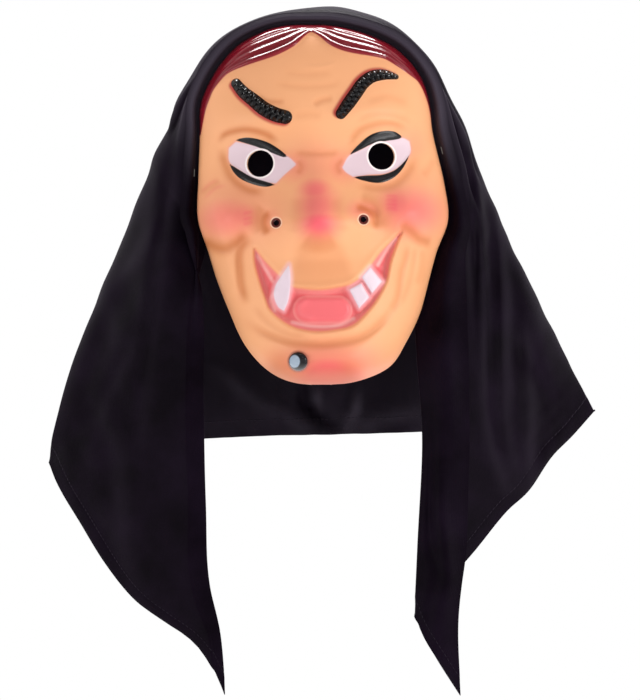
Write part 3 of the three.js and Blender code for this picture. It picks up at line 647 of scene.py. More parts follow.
steps = np.linspace(0, 1, FACE_ROWS + 1)
heights = mix((1 - np.cos(np.pi * steps)) / 2, steps, EVENLY)
evens = np.linspace(-1, 1, FACE_COLUMNS + 1)
across = mix(np.sin(np.pi / 2 * evens), evens, EVENLY)
turns = turn_of(heights)[:, None]
face_x = HALF_FACE * mix(-rim_left(turns), rim_right(turns), (across[None, :] + 1) / 2)
face_z = np.repeat((CHIN_Z + heights * FACE_HEIGHT)[:, None], FACE_COLUMNS + 1, axis=1)

holes = [(middle, PUPIL_BORE / 2) for middle in PUPILS]
holes += [(middle, NOSTRIL_BORE / 2 - COLLAR) for middle in NOSTRILS]
kept = np.ones((FACE_ROWS, FACE_COLUMNS), bool)
for (middle_x, middle_z), radius in holes:
    centre_x = (face_x[:-1, :-1] + face_x[1:, 1:]) / 2
    centre_z = (face_z[:-1, :-1] + face_z[1:, 1:]) / 2
    gone = np.hypot(centre_x - middle_x, centre_z - middle_z) < radius
    kept &= ~gone
    touches = np.zeros(face_x.shape, int)
    for down, right in ((0, 0), (0, 1), (1, 0), (1, 1)):
        touches[down:FACE_ROWS + down, right:FACE_COLUMNS + right] += gone
    border = (touches > 0) & (touches < 4)
    away_x = face_x - middle_x
    away_z = face_z - middle_z
    scale = radius / np.maximum(np.hypot(away_x, away_z), 1e-6)
    face_x = np.where(border, middle_x + away_x * scale, face_x)
    face_z = np.where(border, middle_z + away_z * scale, face_z)

fields = fields_at(face_x, face_z)
dome, settled = dome_depth(face_x, face_z)
face_y = dome - relief(face_x, face_z, fields) * settled
face, face_used = thick_sheet("moulded_face", np.stack([face_x, face_y, face_z], axis=-1), 0, FACE_WALL, kept)
node_low, node_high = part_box("face_shell")
print("the node's box in mm:", [round(v / MM, 1) for v in (*node_low, *node_high)])

# %% [markdown]
# Blush is sprayed freehand: a few soft ovals of pink over cheeks, nose and chin, full in their
# middle and gone at their edge. Thin pink lines of painted shade run along the small wrinkles
# beside the cheeks and at the left temple, and are added to the blush. A red mist also shows at
# one side of each brow, where its stencil lifted.

# %% Sprayed tones
BLUSH = {
    # middle of the oval, its half width and half height, strength
    "left cheek": (-0.375, 0.458, 0.15, 0.1, 0.6),
    "left cheek wide": (-0.34, 0.475, 0.24, 0.16, 0.22),
    "left cheek inner": (-0.33, 0.462, 0.1, 0.075, 0.62),
    "right cheek inner": (0.3, 0.492, 0.1, 0.085, 0.74),
    "right cheek": (0.352, 0.478, 0.155, 0.115, 0.72),
    "right cheek wide": (0.36, 0.49, 0.2, 0.17, 0.2),
    "nose top": (-0.03, 0.532, 0.074, 0.06, 0.78),
    "nose": (-0.022, 0.485, 0.092, 0.12, 0.74),
    "nose tip": (-0.018, 0.44, 0.09, 0.075, 1.0),
    "chin": (0.02, 0.024, 0.18, 0.1, 1.15),
    "chin wide": (0.02, 0.045, 0.27, 0.12, 0.6),
    "bridge": (-0.026, 0.6, 0.14, 0.12, 0.26),
    "right wing": (0.165, 0.478, 0.09, 0.05, 0.5),
    "left wing": (-0.205, 0.455, 0.06, 0.07, 0.28),
    "left eye corner": (-0.1, 0.6, 0.09, 0.08, 0.36),
    "right eye corner": (0.07, 0.6, 0.09, 0.08, 0.36),
    "right eye outside": (0.355, 0.665, 0.07, 0.08, 0.16),
}
# lines of pink painted shade along the small wrinkles beside the cheeks and at the left temple
SHADED_WRINKLES = [[(0.235, z), (0.262, z + 0.003), (0.3, z - 0.002)] for z in (0.517, 0.505, 0.493, 0.481)]
SHADED_WRINKLES += [[(-0.318, z - 0.004), (-0.29, z), (-0.268, z + 0.003)] for z in (0.474, 0.458, 0.444)]
SHADED_WRINKLES += [[(-0.49, 0.53), (-0.44, 0.56), (-0.4, 0.566)], [(-0.48, 0.51), (-0.42, 0.545), (-0.37, 0.55)]]
WRINKLE_HALF = 0.85
WRINKLE_SHADE = 0.2
BLUSH_CORE = 0.82  # how far out, of its half size, a blush is still at a third
BLUSH_FALL = 2.6  # how quickly it ends there
MIST_SHIFT = [(-1.3, -1.2), (-1.7, 0.9)]  # in mm, for each brow

blush_and_wrinkle_shade = np.zeros_like(face_x)
for at_x, at_z, wide, tall, strength in BLUSH.values():
    middle_x, middle_z = place(at_x, at_z)
    away = np.hypot((face_x - middle_x) / (wide * FACE_WIDTH), (face_z - middle_z) / (tall * FACE_WIDTH))
    blush_and_wrinkle_shade = np.maximum(blush_and_wrinkle_shade, strength * np.exp(-((away / BLUSH_CORE) ** BLUSH_FALL)))
# the wrinkle lines go into the blush as painted shade
for wrinkle in SHADED_WRINKLES:
    off, share, _ = line_distance(smooth(wrinkle), face_x, face_z)
    blush_and_wrinkle_shade += WRINKLE_SHADE * bell(off / WRINKLE_HALF) * ease(share * 3) * ease((1 - share) * 3)
mist = np.min([
    brow_field(brow, face_x - shift[0], face_z - shift[1])[0] for brow, shift in zip(BROWS, MIST_SHIFT)
], axis=0)
keep_values(face, face_used, dict(fields, blush_and_wrinkle_shade=blush_and_wrinkle_shade, mist=mist))
print("strongest blush:", round(float(blush_and_wrinkle_shade.max()), 2))

# %% [markdown]
# Materials. One function turns an sRGB hex colour to the linear one that the shader wants, and
# takes off what the studio's light adds, so a colour can be read from the picture. Another adds a
# node with its settings and links.

# %% Material tools
STUDIO_GAIN = 1.15


def pigment(code):
    shares = [int(code[k:k + 2], 16) / 255 for k in (1, 3, 5)]
    linear = [s / 12.92 if s <= 0.04045 else ((s + 0.055) / 1.055) ** 2.4 for s in shares]
    return (*[s / STUDIO_GAIN for s in linear], 1)


def add(tree, kind, inputs=None, **settings):
    node = tree.nodes.new(kind)
    for name, value in settings.items():
        setattr(node, name, value)
    for key, value in (inputs or {}).items():
        if isinstance(value, bpy.types.NodeSocket):
            tree.links.new(value, node.inputs[key])
        else:
            node.inputs[key].default_value = value
    return node


def new_material(name):
    material = bpy.data.materials.new(name)
    material.use_nodes = True
    shader = material.node_tree.nodes["Principled BSDF"]
    return material, material.node_tree, shader


print("the flesh pigment:", [round(v, 3) for v in pigment("#f2ac79")[:3]])

# %% [markdown]
# Sprayed PVC. The sheet is vacuum-formed PVC about a millimetre thick, sprayed with satin flesh
# paint, and then with glossier colours through stencils. PVC paint has an IOR near 1.5. The flesh
# scatters at a roughness near 0.45, mouth and eyes at 0.3 to 0.4, and the gloss of hair, brows,
# lids and wart at 0.1 to 0.2. A dark edge is soft over about half a millimetre, a pale one over
# one or two, and a shade inside a shape over up to five. They lie in the order of the work.

# %% Sprayed PVC
PAINTS = [
    # field, level in mm, softness in mm, strength, colour, roughness
    ("mist", 0.1, 2.4, 0.9, "#b3262c", 0.45),
    ("eye", 1.1, 2.2, 0.5, "#ee9c8c", 0.42),
    ("eye", -0.1, 1.3, 1.0, "#e3cad2", 0.36),
    ("mouth", 0.1, 1.8, 1.0, "#f28d88", 0.4),
    ("mouth", -2.8, 4.6, 0.8, "#e85f66", 0.36),
    # pale pink painted highlight along the raised folds in the mouth
    ("lip_highlight", 0.6, 2.4, 0.6, "#fbc3bd", 0.3),
    ("tongue", 1.0, 1.4, 0.45, "#f8b0ac", 0.34),
    ("tongue", -0.6, 3.0, 0.9, "#f06a70", 0.32),
    ("tooth", 1.8, 3.6, 0.6, "#f4c6cd", 0.36),
    ("tooth", 0.0, 0.7, 1.0, "#e4d0da", 0.3),
    ("lash", 0.0, 0.6, 1.0, "#0e0b0d", 0.22),
    # a grey painted highlight along the middle of each lid stroke
    ("lash", -1.9, 1.4, 0.25, "#48464b", 0.22),
    ("hair", 0.5, 1.0, 0.5, "#b4574c", 0.4),
    ("hair", 0.0, 0.6, 1.0, "#861624", 0.09),
    ("hair", -1.6, 1.6, 0.45, "#640c18", 0.09),
    ("brow", 0.0, 0.6, 1.0, "#090608", 0.16),
    ("wart", 0.6, 1.8, 0.6, "#5a3f42", 0.4),
    ("wart", -0.3, 0.8, 1.0, "#120f14", 0.1),
    # a pale blue-grey painted highlight on the glossy wart
    ("wart_highlight", 0.0, 0.9, 0.9, "#a3b3c4", 0.2),
    # pale rings round pupils and nostrils: bare plastic where the paint was trimmed, lightened further as a
    # painted highlight where the cut edge catches light
    ("pupil", 1.15, 0.5, 1.0, "#fbeeed", 0.4),
    ("nostril", 0.9, 0.6, 0.6, "#fbd9bb", 0.4),
    # dark red-brown painted shade in the nostrils' dished collars, for the dim inside of the holes
    ("nostril", 0.1, 0.5, 1.0, "#5e1911", 0.5),
]
IN_MOUTH = ("tongue", "lip_highlight")

paint, tree, shader = new_material("sprayed_pvc")
place_node = add(tree, "ShaderNodeTexCoord")
tint = add(tree, "ShaderNodeTexNoise", {"Vector": place_node.outputs["Object"], "Scale": 22, "Detail": 2})
flesh = add(tree, "ShaderNodeMix", {
    0: tint.outputs[0], 6: pigment("#f0a876"), 7: pigment("#f8b383"),
}, data_type="RGBA")
colour = flesh.outputs[2]
# the blush layer also carries pink painted shade along the cheek wrinkles; the shade layer is the warm
# painted shade in creases, under the nose, over the upper lip and under the chin
for name, shade_colour in (("blush_and_wrinkle_shade", "#f0606c"), ("shade", "#c06424")):
    field = add(tree, "ShaderNodeAttribute", attribute_name=name)
    layer = add(tree, "ShaderNodeMix", {
        0: field.outputs["Fac"], 6: colour, 7: pigment(shade_colour),
    }, data_type="RGBA")
    colour = layer.outputs[2]
rough = 0.46  # of the flesh
mouth_field = add(tree, "ShaderNodeAttribute", attribute_name="mouth")
in_mouth = add(tree, "ShaderNodeMapRange", {
    0: mouth_field.outputs["Fac"], 1: 0.5, 2: -0.5, 3: 0, 4: 1,
}, interpolation_type="SMOOTHSTEP")
for name, level, soft, strength, code, roughness in PAINTS:
    field = add(tree, "ShaderNodeAttribute", attribute_name=name)
    mask = add(tree, "ShaderNodeMapRange", {
        0: field.outputs["Fac"], 1: level + soft / 2, 2: level - soft / 2, 3: 0, 4: strength,
    }, interpolation_type="SMOOTHSTEP")
    cover = mask.outputs[0]
    if name in IN_MOUTH:
        both = add(tree, "ShaderNodeMath", {0: cover, 1: in_mouth.outputs[0]}, operation="MULTIPLY")
        cover = both.outputs[0]
    layer = add(tree, "ShaderNodeMix", {0: cover, 6: colour, 7: pigment(code)}, data_type="RGBA")
    colour = layer.outputs[2]
    finish = add(tree, "ShaderNodeMix", {0: cover, 2: rough, 3: roughness}, data_type="FLOAT")
    rough = finish.outputs[0]
tree.links.new(colour, shader.inputs["Base Color"])
tree.links.new(rough, shader.inputs["Roughness"])
shader.inputs["IOR"].default_value = 1.5
shader.inputs["Specular IOR Level"].default_value = 0.24
print(len(PAINTS), "paints on the sheet")

# %% [markdown]
# Spray paint dries with a fine orange peel. Its grain is about 0.4 mm, too fine for this picture,
# so it is drawn at 1.2 mm, very shallow. The hair has fine grooves along the strands. On the brows,
# each row of beads is a sine whose bottom half is turned up, the rows half a bead apart, with a
# groove between them.

# %% Orange peel and grooves
PEEL_GRAIN = 1.2
GROOVES = 5  # fine grooves on one strand
BEAD_RISE = 1.2

peel = add(tree, "ShaderNodeTexNoise", {
    "Vector": place_node.outputs["Object"], "Scale": 1 / (PEEL_GRAIN * MM), "Detail": 1,
})
peel_bump = add(tree, "ShaderNodeBump", {
    "Height": peel.outputs[0], "Strength": 0.12, "Distance": 0.05 * MM,
})
strand_field = add(tree, "ShaderNodeAttribute", attribute_name="strand")
groove = add(tree, "ShaderNodeMath", {
    0: strand_field.outputs["Fac"], 1: 2 * math.pi * GROOVES,
}, operation="MULTIPLY")
groove_wave = add(tree, "ShaderNodeMath", {0: groove.outputs[0]}, operation="SINE")
groove_bump = add(tree, "ShaderNodeBump", {
    "Height": groove_wave.outputs[0], "Strength": 0.12, "Distance": 0.06 * MM,
    "Normal": peel_bump.outputs[0],
})
brow_edge = add(tree, "ShaderNodeAttribute", attribute_name="brow")
brow_along = add(tree, "ShaderNodeAttribute", attribute_name="brow_along")
brow_side = add(tree, "ShaderNodeAttribute", attribute_name="brow_side")
upper_row = add(tree, "ShaderNodeMath", {0: brow_side.outputs["Fac"], 1: 0}, operation="GREATER_THAN")
row_shift = add(tree, "ShaderNodeMath", {
    0: upper_row.outputs[0], 1: math.pi / 2,
}, operation="MULTIPLY")
bead_phase = add(tree, "ShaderNodeMath", {
    0: brow_along.outputs["Fac"], 1: math.pi / BEAD_PITCH, 2: row_shift.outputs[0],
}, operation="MULTIPLY_ADD")
bead_sine = add(tree, "ShaderNodeMath", {0: bead_phase.outputs[0]}, operation="SINE")
bead_top = add(tree, "ShaderNodeMath", {0: bead_sine.outputs[0]}, operation="ABSOLUTE")
side_off = add(tree, "ShaderNodeMath", {0: brow_side.outputs["Fac"]}, operation="ABSOLUTE")
centre_groove = add(tree, "ShaderNodeMapRange", {
    0: side_off.outputs[0], 1: 0, 2: 0.8, 3: 0.5, 4: 1,
}, interpolation_type="SMOOTHSTEP")
bead_round = add(tree, "ShaderNodeMath", {
    0: bead_top.outputs[0], 1: centre_groove.outputs[0],
}, operation="MULTIPLY")
on_brow = add(tree, "ShaderNodeMapRange", {0: brow_edge.outputs["Fac"], 1: 0, 2: -0.8, 3: 0, 4: 1})
bead_height = add(tree, "ShaderNodeMath", {
    0: bead_round.outputs[0], 1: on_brow.outputs[0],
}, operation="MULTIPLY")
bead_bump = add(tree, "ShaderNodeBump", {
    "Height": bead_height.outputs[0], "Strength": 1, "Distance": BEAD_RISE * MM,
    "Normal": groove_bump.outputs[0],
})
tree.links.new(bead_bump.outputs[0], shader.inputs["Normal"])
print("peel every", PEEL_GRAIN, "mm")

# %% [markdown]
# The back of the sheet is bare PVC, pale flesh, with the matt skin of the mould. A little light
# comes through a sheet this thin, so it has some subsurface scatter. The cut walls of the nostrils
# are painted dark red-brown, a painted shade for the dim inside of the holes.

# %% Bare PVC
bare, tree, shader = new_material("bare_pvc")
place_node = add(tree, "ShaderNodeTexCoord")
cloud = add(tree, "ShaderNodeTexNoise", {"Vector": place_node.outputs["Object"], "Scale": 45, "Detail": 3})
tone = add(tree, "ShaderNodeMix", {
    0: cloud.outputs[0], 6: pigment("#e3b08f"), 7: pigment("#eec3a4"),
}, data_type="RGBA")
grain = add(tree, "ShaderNodeTexNoise", {
    "Vector": place_node.outputs["Object"], "Scale": 1 / (PEEL_GRAIN * MM), "Detail": 2,
})
grain_bump = add(tree, "ShaderNodeBump", {
    "Height": grain.outputs[0], "Strength": 0.3, "Distance": 0.1 * MM,
})
# dark red-brown painted shade on the nostrils' cut walls
nostril_field = add(tree, "ShaderNodeAttribute", attribute_name="nostril")
nostril_shade = add(tree, "ShaderNodeMapRange", {0: nostril_field.outputs["Fac"], 1: 0.6, 2: 0.1, 3: 0, 4: 1})
nostril_shade_tone = add(tree, "ShaderNodeMix", {
    0: nostril_shade.outputs[0], 6: tone.outputs[2], 7: pigment("#4a0f0b"),
}, data_type="RGBA")
tree.links.new(nostril_shade_tone.outputs[2], shader.inputs["Base Color"])
tree.links.new(grain_bump.outputs[0], shader.inputs["Normal"])
shader.inputs["Roughness"].default_value = 0.6
shader.inputs["IOR"].default_value = 1.53
shader.inputs["Subsurface Weight"].default_value = 0.1
shader.inputs["Subsurface Radius"].default_value = (2 * MM, 1.2 * MM, 0.8 * MM)

face.data.materials.append(paint)
face.data.materials.append(bare)
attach(face, "root")
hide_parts("face_shell")
print("the face stands for the node face_shell")

# %% [markdown]
# The headscarf is one sheet of black cloth. Its shape is worked out station by station along the
# front hem, from the left point over the top to the right point. At each station the cloth starts
# at its free edge, turns over a roll, tucks in behind the rim, and runs out to the side and down
# to the hem behind. The same table and steps give the solid, so the cloth lies where it is.

# %% The scarf's stations
CLOTH = 1.2  # thickness
HOOD_DEPTH = 165  # from the rim's plane back to the middle of the rear hem
CURTAIN_DROP = 462  # from the crown down to the longer point
BACK_DROP = 288  # from the crown down to the rear hem
CORNER_FLARE = 105  # how far the corners stand out beside the face
LAPEL = 33  # width of the cloth that is turned outwards
ROLL = 7  # how far the turned hem stands out in front
TURN_GAP = 4.6  # how far behind the turned hem the cloth goes on
TUCK = 5  # how far the cloth reaches in behind the rim
RIM_CLEARANCE = 1.6
HEM_SPREAD = 0.32  # how much further in front the rear hem's ends lie, of the hood's depth
HEM_LIFT = 14  # how much higher its right end lies, and how much lower its left one
HEM_TILT = 0.02
TOP_ANGLE = 0.1  # half the angle of the stretch over the rim's top

# Stations on the rim give its height, with no drop and reach; those below it give drop and reach.
ON_RIM = -1
STATIONS = table("side height drop reach turned out_edge up_edge out down back full", [
    (-1, ON_RIM, 0.967, 0.872, 0, -0.24, -0.38, 1.115, 0.665, 0.61, 0.3),
    (-1, ON_RIM, 0.857, 0.975, 0, -0.29, -0.44, 0.974, 0.611, 0.59, 0.35),
    (-1, ON_RIM, 0.712, 1.031, 0, -0.27, -0.2, 0.815, 0.518, 0.57, 0.45),
    (-1, ON_RIM, 0.567, 1.055, 0, -0.28, -0.04, 0.609, 0.411, 0.53, 0.6),
    (-1, ON_RIM, 0.416, 1.02, 0.2, -0.16, 0, 0.42, 0.293, 0.48, 0.75),
    (-1, 0.42, 0, 0, 1, 0.32, 0.04, 0.345, 0.225, 0.45, 0.9),
    (-1, 0.545, 0, 0, 1, 0.31, 0.07, 0.244, 0.188, 0.42, 1),
    (-1, 0.707, 0, 0, 1, 0.27, 0.11, 0.198, 0.15, 0.4, 1),
    (-1, 0.812, 0, 0, 1, 0.26, 0.15, 0.152, 0.106, 0.38, 1),
    (-1, 0.943, 0, 0, 1, 0.2, 0.21, 0.08, 0.033, 0.35, 1),
    (1, 1.0, 0, 0, 1, 0.02, 0.24, 0.05, 0, 0.33, 1),
    (1, 0.943, 0, 0, 1, 0.2, 0.23, 0.06, 0.018, 0.35, 1),
    (1, 0.848, 0, 0, 1, 0.28, 0.13, 0.131, 0.072, 0.38, 1),
    (1, 0.709, 0, 0, 1, 0.32, 0.09, 0.231, 0.159, 0.4, 1),
    (1, 0.554, 0, 0, 1, 0.38, -0.03, 0.26, 0.245, 0.42, 1),
    (1, 0.414, 0, 0, 1, 0.5, -0.11, 0.392, 0.298, 0.45, 0.9),
    (1, 0.234, 0, 0, 1, 0.87, -0.1, 0.666, 0.377, 0.48, 0.75),
    (1, ON_RIM, 0.494, 0.745, 1, 1.05, -0.51, 0.858, 0.445, 0.52, 0.65),
    (1, ON_RIM, 0.625, 0.793, 1, 0.93, -0.81, 0.995, 0.526, 0.57, 0.5),
    (1, ON_RIM, 0.777, 0.753, 1, 0.93, -1.11, 1.127, 0.569, 0.59, 0.4),
    (1, ON_RIM, 0.881, 0.729, 1, 0.94, -1.59, 1.194, 0.589, 0.61, 0.35),
])
on_rim = STATIONS["height"] != ON_RIM


def rim_points(angle):
    """The rim as one line, by an angle that is 0 at its top and below zero on the left side."""
    turn = math.pi - np.maximum(np.abs(angle) - TOP_ANGLE, 0)
    height = (1 - np.cos(turn)) / 2
    share = np.clip(angle / TOP_ANGLE, -1, 1)
    x = HALF_FACE * mix(-rim_left(turn), rim_right(turn), (share + 1) / 2)
    return np.stack([x, bow_at(height) * share**2, CHIN_Z + height * FACE_HEIGHT], axis=-1)


angles = STATIONS["side"] * (TOP_ANGLE + math.pi - turn_of(STATIONS["height"]))
angles[STATIONS["height"] == 1] = 0
lines = np.stack([
    STATIONS["side"] * STATIONS["reach"] * HALF_FACE,
    np.zeros(len(on_rim)),
    -STATIONS["drop"] * CURTAIN_DROP,
], axis=-1)
lines[on_rim] = rim_points(angles[on_rim])
knots = np.concatenate([[0], np.cumsum(np.maximum(np.linalg.norm(np.diff(lines, axis=0), axis=1), 1))])
print("front hem:", round(float(knots[-1])), "mm over", len(knots), "stations")

# %% [markdown]
# Between the stations every value runs on a smooth curve, and where the hem follows the rim it is
# read from the rim itself, so cloth and plastic never cross. Across, the cloth passes through
# eleven points, and places are counted in the spans between them: 0 to 4 are the turned edge, 4
# to 7 lead out to the side, and 7 to 10 round the back to the rear hem. Hanging cloth has no
# kinks from row to row, so it is evened out a little away from its edges.

# %% From stations to cloth
SCARF_ROWS = 344
PIECES_PER_SPAN = (10, 10, 6, 6, 8, 16, 16, 16, 18, 24)
SIDE_SPAN = 7
ON_THE_WAY = (0.3, 0.65)  # where on a round way its two points lie
EDGE_STAND = 0.55  # how far the free edge stands out, of the roll
LAPEL_STAND = 1.5
SOFTEN = 10  # rows to each side over which the hanging cloth is evened out

hem_shares = np.linspace(0, 1, SCARF_ROWS + 1)
hem_at = hem_shares * knots[-1]
signed = {"out_edge", "out"}
station = {"tucked": curve_through(knots, on_rim.astype(float))(hem_at)}
for name in ("turned", "out_edge", "up_edge", "out", "down", "back", "full"):
    column = STATIONS[name] * (STATIONS["side"] if name in signed else 1)
    station[name] = curve_through(knots, column)(hem_at)
hem_line = np.stack([curve_through(knots, lines[:, k])(hem_at) for k in range(3)], axis=-1)
follows = (hem_at >= knots[on_rim][0]) & (hem_at <= knots[on_rim][-1])
hem_line[follows] = rim_points(curve_through(knots[on_rim], angles[on_rim])(hem_at[follows]))


def quarter(start, end, share, full):
    """A point of the round way from start to end; y leaves first where it is full."""
    angle = share * math.pi / 2
    point = mix(start, end, mix(share, math.sin(angle), full))
    point[1] = mix(start[1], end[1], mix(share, 1 - math.cos(angle), full))
    return point


def cloth_points(i):
    """The eleven points that the cloth passes through at one place of the front hem."""
    at = hem_line[i]
    tucked, turned, full = (station[k][i] for k in ("tucked", "turned", "full"))
    hem = 2 * hem_shares[i] - 1
    half_hood = HALF_FACE + CORNER_FLARE
    side = np.array([
        at[0] + station["out"][i] * CORNER_FLARE,
        station["back"][i] * HOOD_DEPTH,
        CLOTH / 2 - station["down"][i] * CURTAIN_DROP,
    ])
    outward = np.array([side[0] - at[0], 0, side[2] - at[2]])
    outward /= np.linalg.norm(outward)
    fold = at - outward * tucked * TUCK
    fold[1] = at[1] + tucked * (RIM_CLEARANCE + CLOTH / 2)
    edge = at + np.array([station["out_edge"][i], 0, station["up_edge"][i]]) * LAPEL
    edge[1] = fold[1] - turned * ROLL * EDGE_STAND
    crest = mix(edge, at, 0.5)
    crest[1] = fold[1] - turned * ROLL
    passing = mix(mix(at, edge, 0.14), at + outward * RIM_CLEARANCE, tucked)
    passing[1] = fold[1] - (1 - tucked) * turned * LAPEL_STAND
    turn_back = fold + np.array([0, turned * TURN_GAP / 2, 0])
    inner = at + outward * mix(TUCK, -TUCK / 2, tucked)
    inner[1] = fold[1] + turned * TURN_GAP
    panel = [quarter(inner, side, share, full) for share in ON_THE_WAY]
    behind = np.array([
        hem * half_hood,
        HOOD_DEPTH * (1 - HEM_SPREAD * hem * hem),
        -BACK_DROP + HEM_LIFT * hem**3 + HEM_TILT * hem * half_hood,
    ])
    rear = []
    for share in ON_THE_WAY:
        angle = share * math.pi / 2
        point = mix(side, behind, 1 - math.cos(angle))
        point[1] = mix(side[1], behind[1], math.sin(angle))
        rear.append(point)
    return np.array([edge, crest, passing, turn_back, inner, *panel, side, *rear, behind])


spans = np.concatenate([[0]] + [k + np.arange(1, n + 1) / n for k, n in enumerate(PIECES_PER_SPAN)])
scarf = np.zeros((SCARF_ROWS + 1, len(spans), 3))
for i in range(SCARF_ROWS + 1):
    points = cloth_points(i)
    reach = np.linalg.norm(np.diff(points, axis=0), axis=1)
    length = np.concatenate([[0], np.cumsum(np.maximum(reach, 0.5))])
    at = np.interp(spans, np.arange(len(length)), length)
    for k in range(3):
        scarf[i, :, k] = curve_through(length, points[:, k])(at)

padded = np.pad(scarf, ((SOFTEN, SOFTEN), (0, 0), (0, 0)), mode="edge")
weights = bell(np.arange(-SOFTEN, SOFTEN + 1) / (0.42 * SOFTEN))
softened = sum(w * padded[k:k + len(scarf)] for k, w in enumerate(weights / weights.sum()))
from_end = np.minimum(np.arange(len(scarf)), np.arange(len(scarf))[::-1])
softly = ease((from_end[:, None] - 4) / 16) * ease((spans[None, :] - 4.8) / 1.2)
scarf = mix(scarf, softened, softly[:, :, None])
print("cloth grid:", scarf.shape[:2])

# %% [markdown]
# Folds. Long soft folds hang in the curtains, upright gathers run down the back, and finer ones
# cross the panel that shows under the chin. Each is a line in the front view with a width and a
# rise, and each kind of fold is felt in its own spans only.

# %% Folds
CURTAIN_FOLDS = {
    # points and width in shares of CURTAIN_DROP, rise in shares of ROLL
    "left ridge": ([(-0.23, 0.2), (-0.245, 0.4), (-0.27, 0.58)], 0.022, 0.7),
    "left valley": ([(-0.235, 0.3), (-0.34, 0.5), (-0.36, 0.66)], 0.028, -0.7),
    "left outer ridge": ([(-0.3, 0.32), (-0.4, 0.6)], 0.02, 0.5),
    "left point fold": ([(-0.22, 0.62), (-0.19, 0.9)], 0.022, 0.6),
    "right ridge": ([(0.225, 0.21), (0.235, 0.5), (0.25, 0.7)], 0.02, 0.9),
    "right valley": ([(0.26, 0.28), (0.275, 0.5), (0.28, 0.66)], 0.024, -0.7),
    "right outer ridge": ([(0.29, 0.34), (0.34, 0.58)], 0.022, 0.6),
}
FINE_FOLDS = {
    "left light line": ([(-0.203, 0.155), (-0.219, 0.281), (-0.228, 0.352), (-0.248, 0.53), (-0.26, 0.629)],
                        0.011, 0.8),
    "left line's crease": ([(-0.214, 0.16), (-0.231, 0.285), (-0.241, 0.36), (-0.262, 0.535)], 0.011, -0.5),
    "left soft crease": ([(-0.2, 0.38), (-0.215, 0.6), (-0.2, 0.8)], 0.012, 0.3),
    "left shoulder pull": ([(-0.21, 0.24), (-0.27, 0.36), (-0.33, 0.42)], 0.013, 0.35),
    "left corner pull": ([(-0.26, 0.44), (-0.33, 0.58), (-0.38, 0.62)], 0.012, -0.3),
    "left hem wave": ([(-0.3, 0.62), (-0.28, 0.75), (-0.24, 0.86)], 0.014, 0.35),
    "right inner ridge": ([(0.2, 0.179), (0.207, 0.267), (0.211, 0.371), (0.214, 0.474), (0.216, 0.578)],
                          0.011, 1.0),
    "right inner crease": ([(0.21, 0.15), (0.219, 0.267), (0.223, 0.371), (0.225, 0.52)], 0.01, -1.0),
    "right main ridge": ([(0.226, 0.245), (0.232, 0.356), (0.234, 0.474), (0.234, 0.585), (0.244, 0.637),
                          (0.266, 0.696)], 0.011, 1.1),
    "right main crease": ([(0.24, 0.23), (0.245, 0.356), (0.247, 0.474), (0.248, 0.57), (0.26, 0.63)],
                          0.011, -1.1),
    "right second ridge": ([(0.262, 0.3), (0.268, 0.45), (0.27, 0.6), (0.288, 0.7)], 0.01, 0.45),
    "right third ridge": ([(0.3, 0.45), (0.31, 0.6), (0.3, 0.74)], 0.01, 0.35),
    "right shoulder pull": ([(0.23, 0.2), (0.29, 0.33), (0.35, 0.44)], 0.013, 0.35),
    "right corner pull": ([(0.29, 0.5), (0.35, 0.58), (0.4, 0.6)], 0.011, -0.3),
}
BACK_FOLDS = 7
BACK_FOLD_RISE = 4
PANEL_FOLDS = {
    "long diagonal": ([(-0.16, 0.52), (-0.09, 0.575), (-0.045, 0.602), (0.0, 0.628), (0.035, 0.632)],
                      0.012, 0.8),
    "second diagonal": ([(-0.13, 0.54), (-0.06, 0.598), (0.0, 0.632)], 0.011, -0.5),
    "right sweep": ([(0.15, 0.58), (0.08, 0.6), (0.03, 0.622)], 0.016, 0.4),
    "right low sweep": ([(0.15, 0.602), (0.09, 0.614), (0.05, 0.628)], 0.014, -0.25),
    "middle gather": ([(-0.03, 0.54), (-0.03, 0.575), (0.0, 0.6), (0.02, 0.612)], 0.009, -0.8),
    "right gather": ([(0.052, 0.545), (0.05, 0.58), (0.035, 0.604)], 0.009, 0.9),
    "next gather": ([(-0.012, 0.54), (-0.008, 0.58)], 0.008, 0.8),
}
LAPEL_FOLDS = {
    "inner edge": ([(0.15, 0.6), (0.152, 0.731), (0.16, 0.783), (0.17, 0.816), (0.161, 0.86), (0.156, 0.93)],
                   0.009, -0.35),
    "beside it": ([(0.165, 0.6), (0.168, 0.731), (0.178, 0.79), (0.188, 0.83), (0.18, 0.88)], 0.012, 0.35),
    "upper pull": ([(0.17, 0.3), (0.178, 0.45), (0.185, 0.6)], 0.012, 0.25),
}


def fold_rise(folds, x, z):
    rise = np.zeros_like(x)
    for path, wide, strength in folds.values():
        line = np.array([(px * CURTAIN_DROP, -pz * CURTAIN_DROP) for px, pz in path])
        off, along, _ = line_distance(line, x, z)
        ends = 0.25 + 0.75 * np.sin(np.pi * np.clip(along, 0, 1))
        rise += strength * ROLL * ends * bell(1.4 * off / (wide * CURTAIN_DROP))
    return rise


column_share = spans[None, :] + 0 * scarf[:, :, 0]
row_share = hem_shares[:, None] + 0 * scarf[:, :, 0]


def beyond(span, over):
    """1 where the cloth is past a span, 0 before it, with a soft step between them."""
    return ease((column_share - span) / over)


def short_of(span, over):
    return ease((span - column_share) / over)


